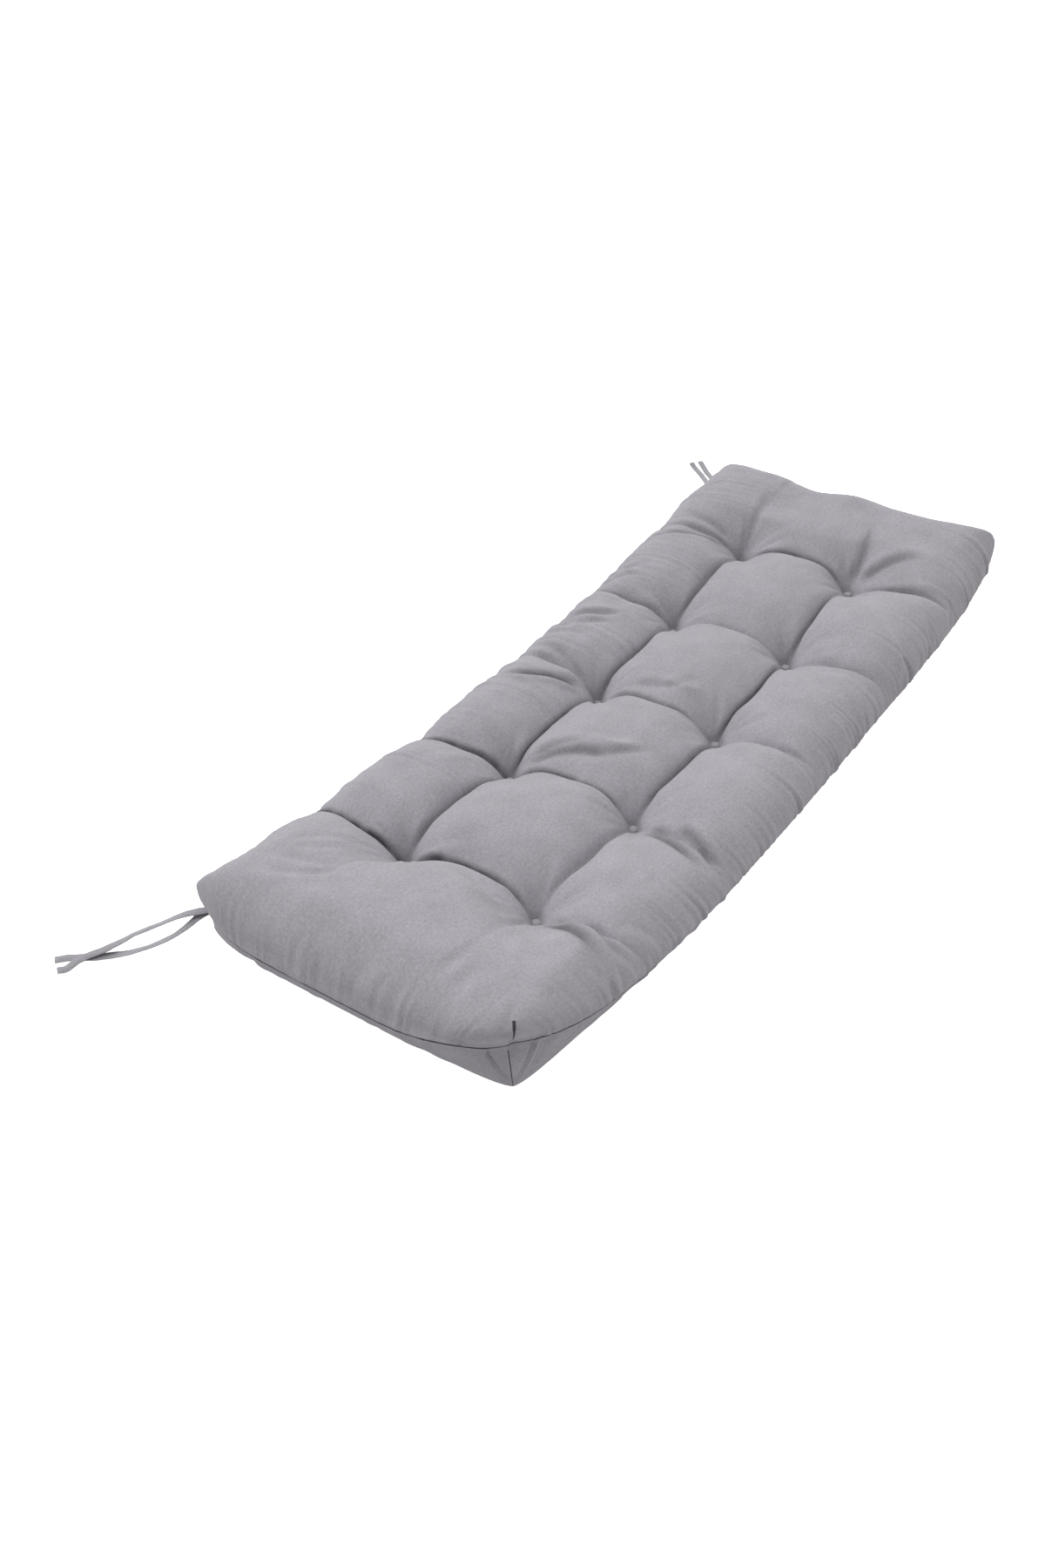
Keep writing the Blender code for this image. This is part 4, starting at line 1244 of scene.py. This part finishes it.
def calc(tree, operation, a, b=None, c=None):
    """A Math node with numbers or sockets as its inputs; gives its output socket."""
    node = tree.nodes.new("ShaderNodeMath")
    node.operation = operation
    for socket, value in zip(node.inputs, (a, b, c)):
        if value is None:
            continue
        if isinstance(value, (int, float)):
            socket.default_value = value
        else:
            tree.links.new(value, socket)
    return node.outputs[0]


def feed(tree, node, **inputs):
    """Sets each named input of a node to its value, or links it to its socket."""
    for name, value in inputs.items():
        if isinstance(value, bpy.types.NodeSocket):
            tree.links.new(value, node.inputs[name])
        else:
            node.inputs[name].default_value = value
    return node


def noise(tree, vector, scale, detail, roughness=0.5):
    """Smooth noise of a vector."""
    node = feed(tree, tree.nodes.new("ShaderNodeTexNoise"), Vector=vector, Scale=scale,
                Detail=detail, Roughness=roughness)
    return node.outputs["Fac"]


def stretched(tree, vector, scale, turn=0.0):
    """A vector scaled along its axes and then turned about Z."""
    node = feed(tree, tree.nodes.new("ShaderNodeMapping"), Vector=vector, Scale=scale,
                Rotation=(0, 0, turn))
    return node.outputs["Vector"]


def mixed(tree, factor, one, other):
    """A colour that goes over into another by a factor."""
    node = tree.nodes.new("ShaderNodeMix")
    node.data_type = "RGBA"
    return feed(tree, node, Factor=factor, A=one, B=other).outputs["Result"]


def axes(tree, vector):
    """The three numbers of a vector."""
    node = feed(tree, tree.nodes.new("ShaderNodeSeparateXYZ"), Vector=vector)
    return [node.outputs[axis] for axis in "XYZ"]


def laid(tree, group):
    """The outputs of a node group that is laid into a material."""
    node = tree.nodes.new("ShaderNodeGroup")
    node.node_tree = group
    return node.outputs


def cloth_place(tree):
    """Where a point lies on its cloth, in metres along the threads."""
    node = tree.nodes.new("ShaderNodeUVMap")
    node.uv_map = "cloth"
    return node.outputs["UV"]


def weave_group():
    """Plain weave read along the cloth: thread height, and a tone of slubs and soft mottling.

    The height is the product of two waves a thread apart, so each thread goes over one and under
    the next. The tone sums thin streaks along both threads with fine and broad noise, about 1.
    """
    group = new_group("plain_weave", (("Thread", THREAD_PITCH), ("Streaks", 0.22), ("Mottle", 0.30)),
                      (("Height", "NodeSocketFloat"), ("Tone", "NodeSocketFloat")))
    inside = group.nodes["Group Input"].outputs
    outside = group.nodes["Group Output"].inputs
    place = cloth_place(group)
    along, across, _ = axes(group, place)
    turn = calc(group, "DIVIDE", np.pi, inside["Thread"])
    wave_u = calc(group, "SINE", calc(group, "MULTIPLY", along, turn))
    wave_v = calc(group, "SINE", calc(group, "MULTIPLY", across, turn))
    cross = calc(group, "MULTIPLY", wave_u, wave_v)
    group.links.new(calc(group, "MULTIPLY_ADD", cross, 0.5, 0.5), outside["Height"])

    long_u = noise(group, stretched(group, place, (*SLUB_WAVES, 1)), 1.0, 1.0)
    long_v = noise(group, stretched(group, place, (*SLUB_WAVES[::-1], 1)), 1.0, 1.0)
    streaks = calc(group, "SUBTRACT", calc(group, "ADD", long_u, long_v), 1.0)
    fine = noise(group, place, *FINE_MOTTLE)
    broad = noise(group, place, *BROAD_MOTTLE)
    mottle = calc(group, "SUBTRACT", calc(group, "MULTIPLY_ADD", fine, 1.8, broad), 1.4)
    tone = calc(group, "MULTIPLY_ADD", streaks, inside["Streaks"], 1.0)
    tone = calc(group, "MULTIPLY_ADD", mottle, inside["Mottle"], tone)
    group.links.new(tone, outside["Tone"])
    return group


def crumple_group():
    """Soft creasing of worn cloth, as a height: smooth noise, stretched two ways along the cloth."""
    group = new_group("soft_crumple", (("Amount", 1.0),), (("Height", "NodeSocketFloat"),))
    place = cloth_place(group)
    one, two = (noise(group, stretched(group, place, *waves), 1.0, 2.0) for waves in CRUMPLES)
    both = calc(group, "ADD", one, two)
    group.links.new(calc(group, "MULTIPLY", both, group.nodes["Group Input"].outputs["Amount"]),
                    group.nodes["Group Output"].inputs["Height"])
    return group


def seam_group():
    """Sewn lines of the cushion, read from its seam attribute: 1 on a stitched line, else 0.

    The attribute holds the distance from the rim, the distance from a corner's dart, and the share
    of the dart's length. The lines' near-black is partly the seam itself and partly painted shade of
    its groove, made uneven along the rim.
    """
    group = new_group("sewn_lines", (("Width", SEAM_LINE),), (("Line", "NodeSocketFloat"),))
    width = group.nodes["Group Input"].outputs["Width"]
    spots = group.nodes.new("ShaderNodeAttribute")
    spots.attribute_name = "seam"
    rim, dart, share = axes(group, spots.outputs["Vector"])
    on_rim = calc(group, "SUBTRACT", 1.0, calc(group, "DIVIDE", rim, width))
    uneven = calc(group, "MULTIPLY_ADD", noise(group, cloth_place(group), *SEAM_VARIES), 3.6, -1.0)
    uneven = calc(group, "MINIMUM", calc(group, "MAXIMUM", uneven, 0.35), 1.0)
    on_rim = calc(group, "MULTIPLY", on_rim, uneven)
    on_dart = calc(group, "SUBTRACT", 1.0, calc(group, "DIVIDE", calc(group, "ABSOLUTE", dart), width))
    within = calc(group, "LESS_THAN", share, 1.0)
    on_dart = calc(group, "MULTIPLY", calc(group, "MAXIMUM", on_dart, 0.0), within)
    line = calc(group, "MAXIMUM", calc(group, "MAXIMUM", on_rim, 0.0), on_dart)
    group.links.new(calc(group, "MINIMUM", calc(group, "MULTIPLY", line, 2.0), 1.0),
                    group.nodes["Group Output"].inputs["Line"])
    return group


def cloth_material(name, colour, weave, sewn=None, crumple=None):
    """Matt woven cloth: a base colour with the weave's tone, and painted shade in its creases and seams."""
    material = bpy.data.materials.new(name)
    material.use_nodes = True
    tree = material.node_tree
    shader = tree.nodes["Principled BSDF"]
    shader.inputs["Specular IOR Level"].default_value = 0.25
    shader.inputs["Sheen Weight"].default_value = 0.10
    shader.inputs["Sheen Roughness"].default_value = 0.5
    thread = laid(tree, weave)

    # Painted shade: the crease attribute darkens the colour in closed creases, pits and folds.
    crease = tree.nodes.new("ShaderNodeAttribute")
    crease.attribute_name = "crease"
    closed = [tone * share for tone, share in zip(colour, PAINTED_CREASE_SHADE)]
    shaded_in_creases = mixed(tree, crease.outputs["Fac"], (*colour, 1), (*closed, 1))
    toned = tree.nodes.new("ShaderNodeVectorMath")
    toned.operation = "SCALE"
    feed(tree, toned, Vector=shaded_in_creases, Scale=thread["Tone"])
    base = toned.outputs["Vector"]
    # Sewn lines, near-black: partly the seam itself, partly painted shade of its groove.
    if sewn:
        base = mixed(tree, laid(tree, sewn)["Line"], base, (*SEAM_SHADE_COLOUR, 1))
    tree.links.new(base, shader.inputs["Base Color"])
    tree.links.new(calc(tree, "MULTIPLY_ADD", thread["Height"], -0.08, 0.93), shader.inputs["Roughness"])

    bump = feed(tree, tree.nodes.new("ShaderNodeBump"), Strength=0.35, Distance=WEAVE_RELIEF,
                Height=thread["Height"])
    if crumple:
        soft = feed(tree, tree.nodes.new("ShaderNodeBump"), Strength=1.0, Distance=CRUMPLE_HEIGHT,
                    Height=laid(tree, crumple)["Height"])
        tree.links.new(soft.outputs["Normal"], bump.inputs["Normal"])
    tree.links.new(bump.outputs["Normal"], shader.inputs["Normal"])
    return material


def dress_ties(weave):
    """The four ties, all of one cloth."""
    cloth = cloth_material("tie_cloth", TIE_COLOUR, weave)
    for tie in TIES:
        tie_strip(tie, cloth)


def dress_cushion(weave):
    """The cushion itself, with its sewn lines and soft crumpling."""
    cloth = cloth_material("cushion_cloth", CUSHION_COLOUR, weave, seam_group(), crumple_group())
    cushion_cover(cloth)


def dress_buttons(weave):
    """The ten buttons, back row first."""
    cloth = cloth_material("button_cloth", BUTTON_COLOUR, weave)
    for number in range(1, 11):
        tuft_button(number, cloth)


add_camera()
add_lights()
add_floor()
weave = weave_group()
dress_ties(weave)
dress_cushion(weave)
dress_buttons(weave)
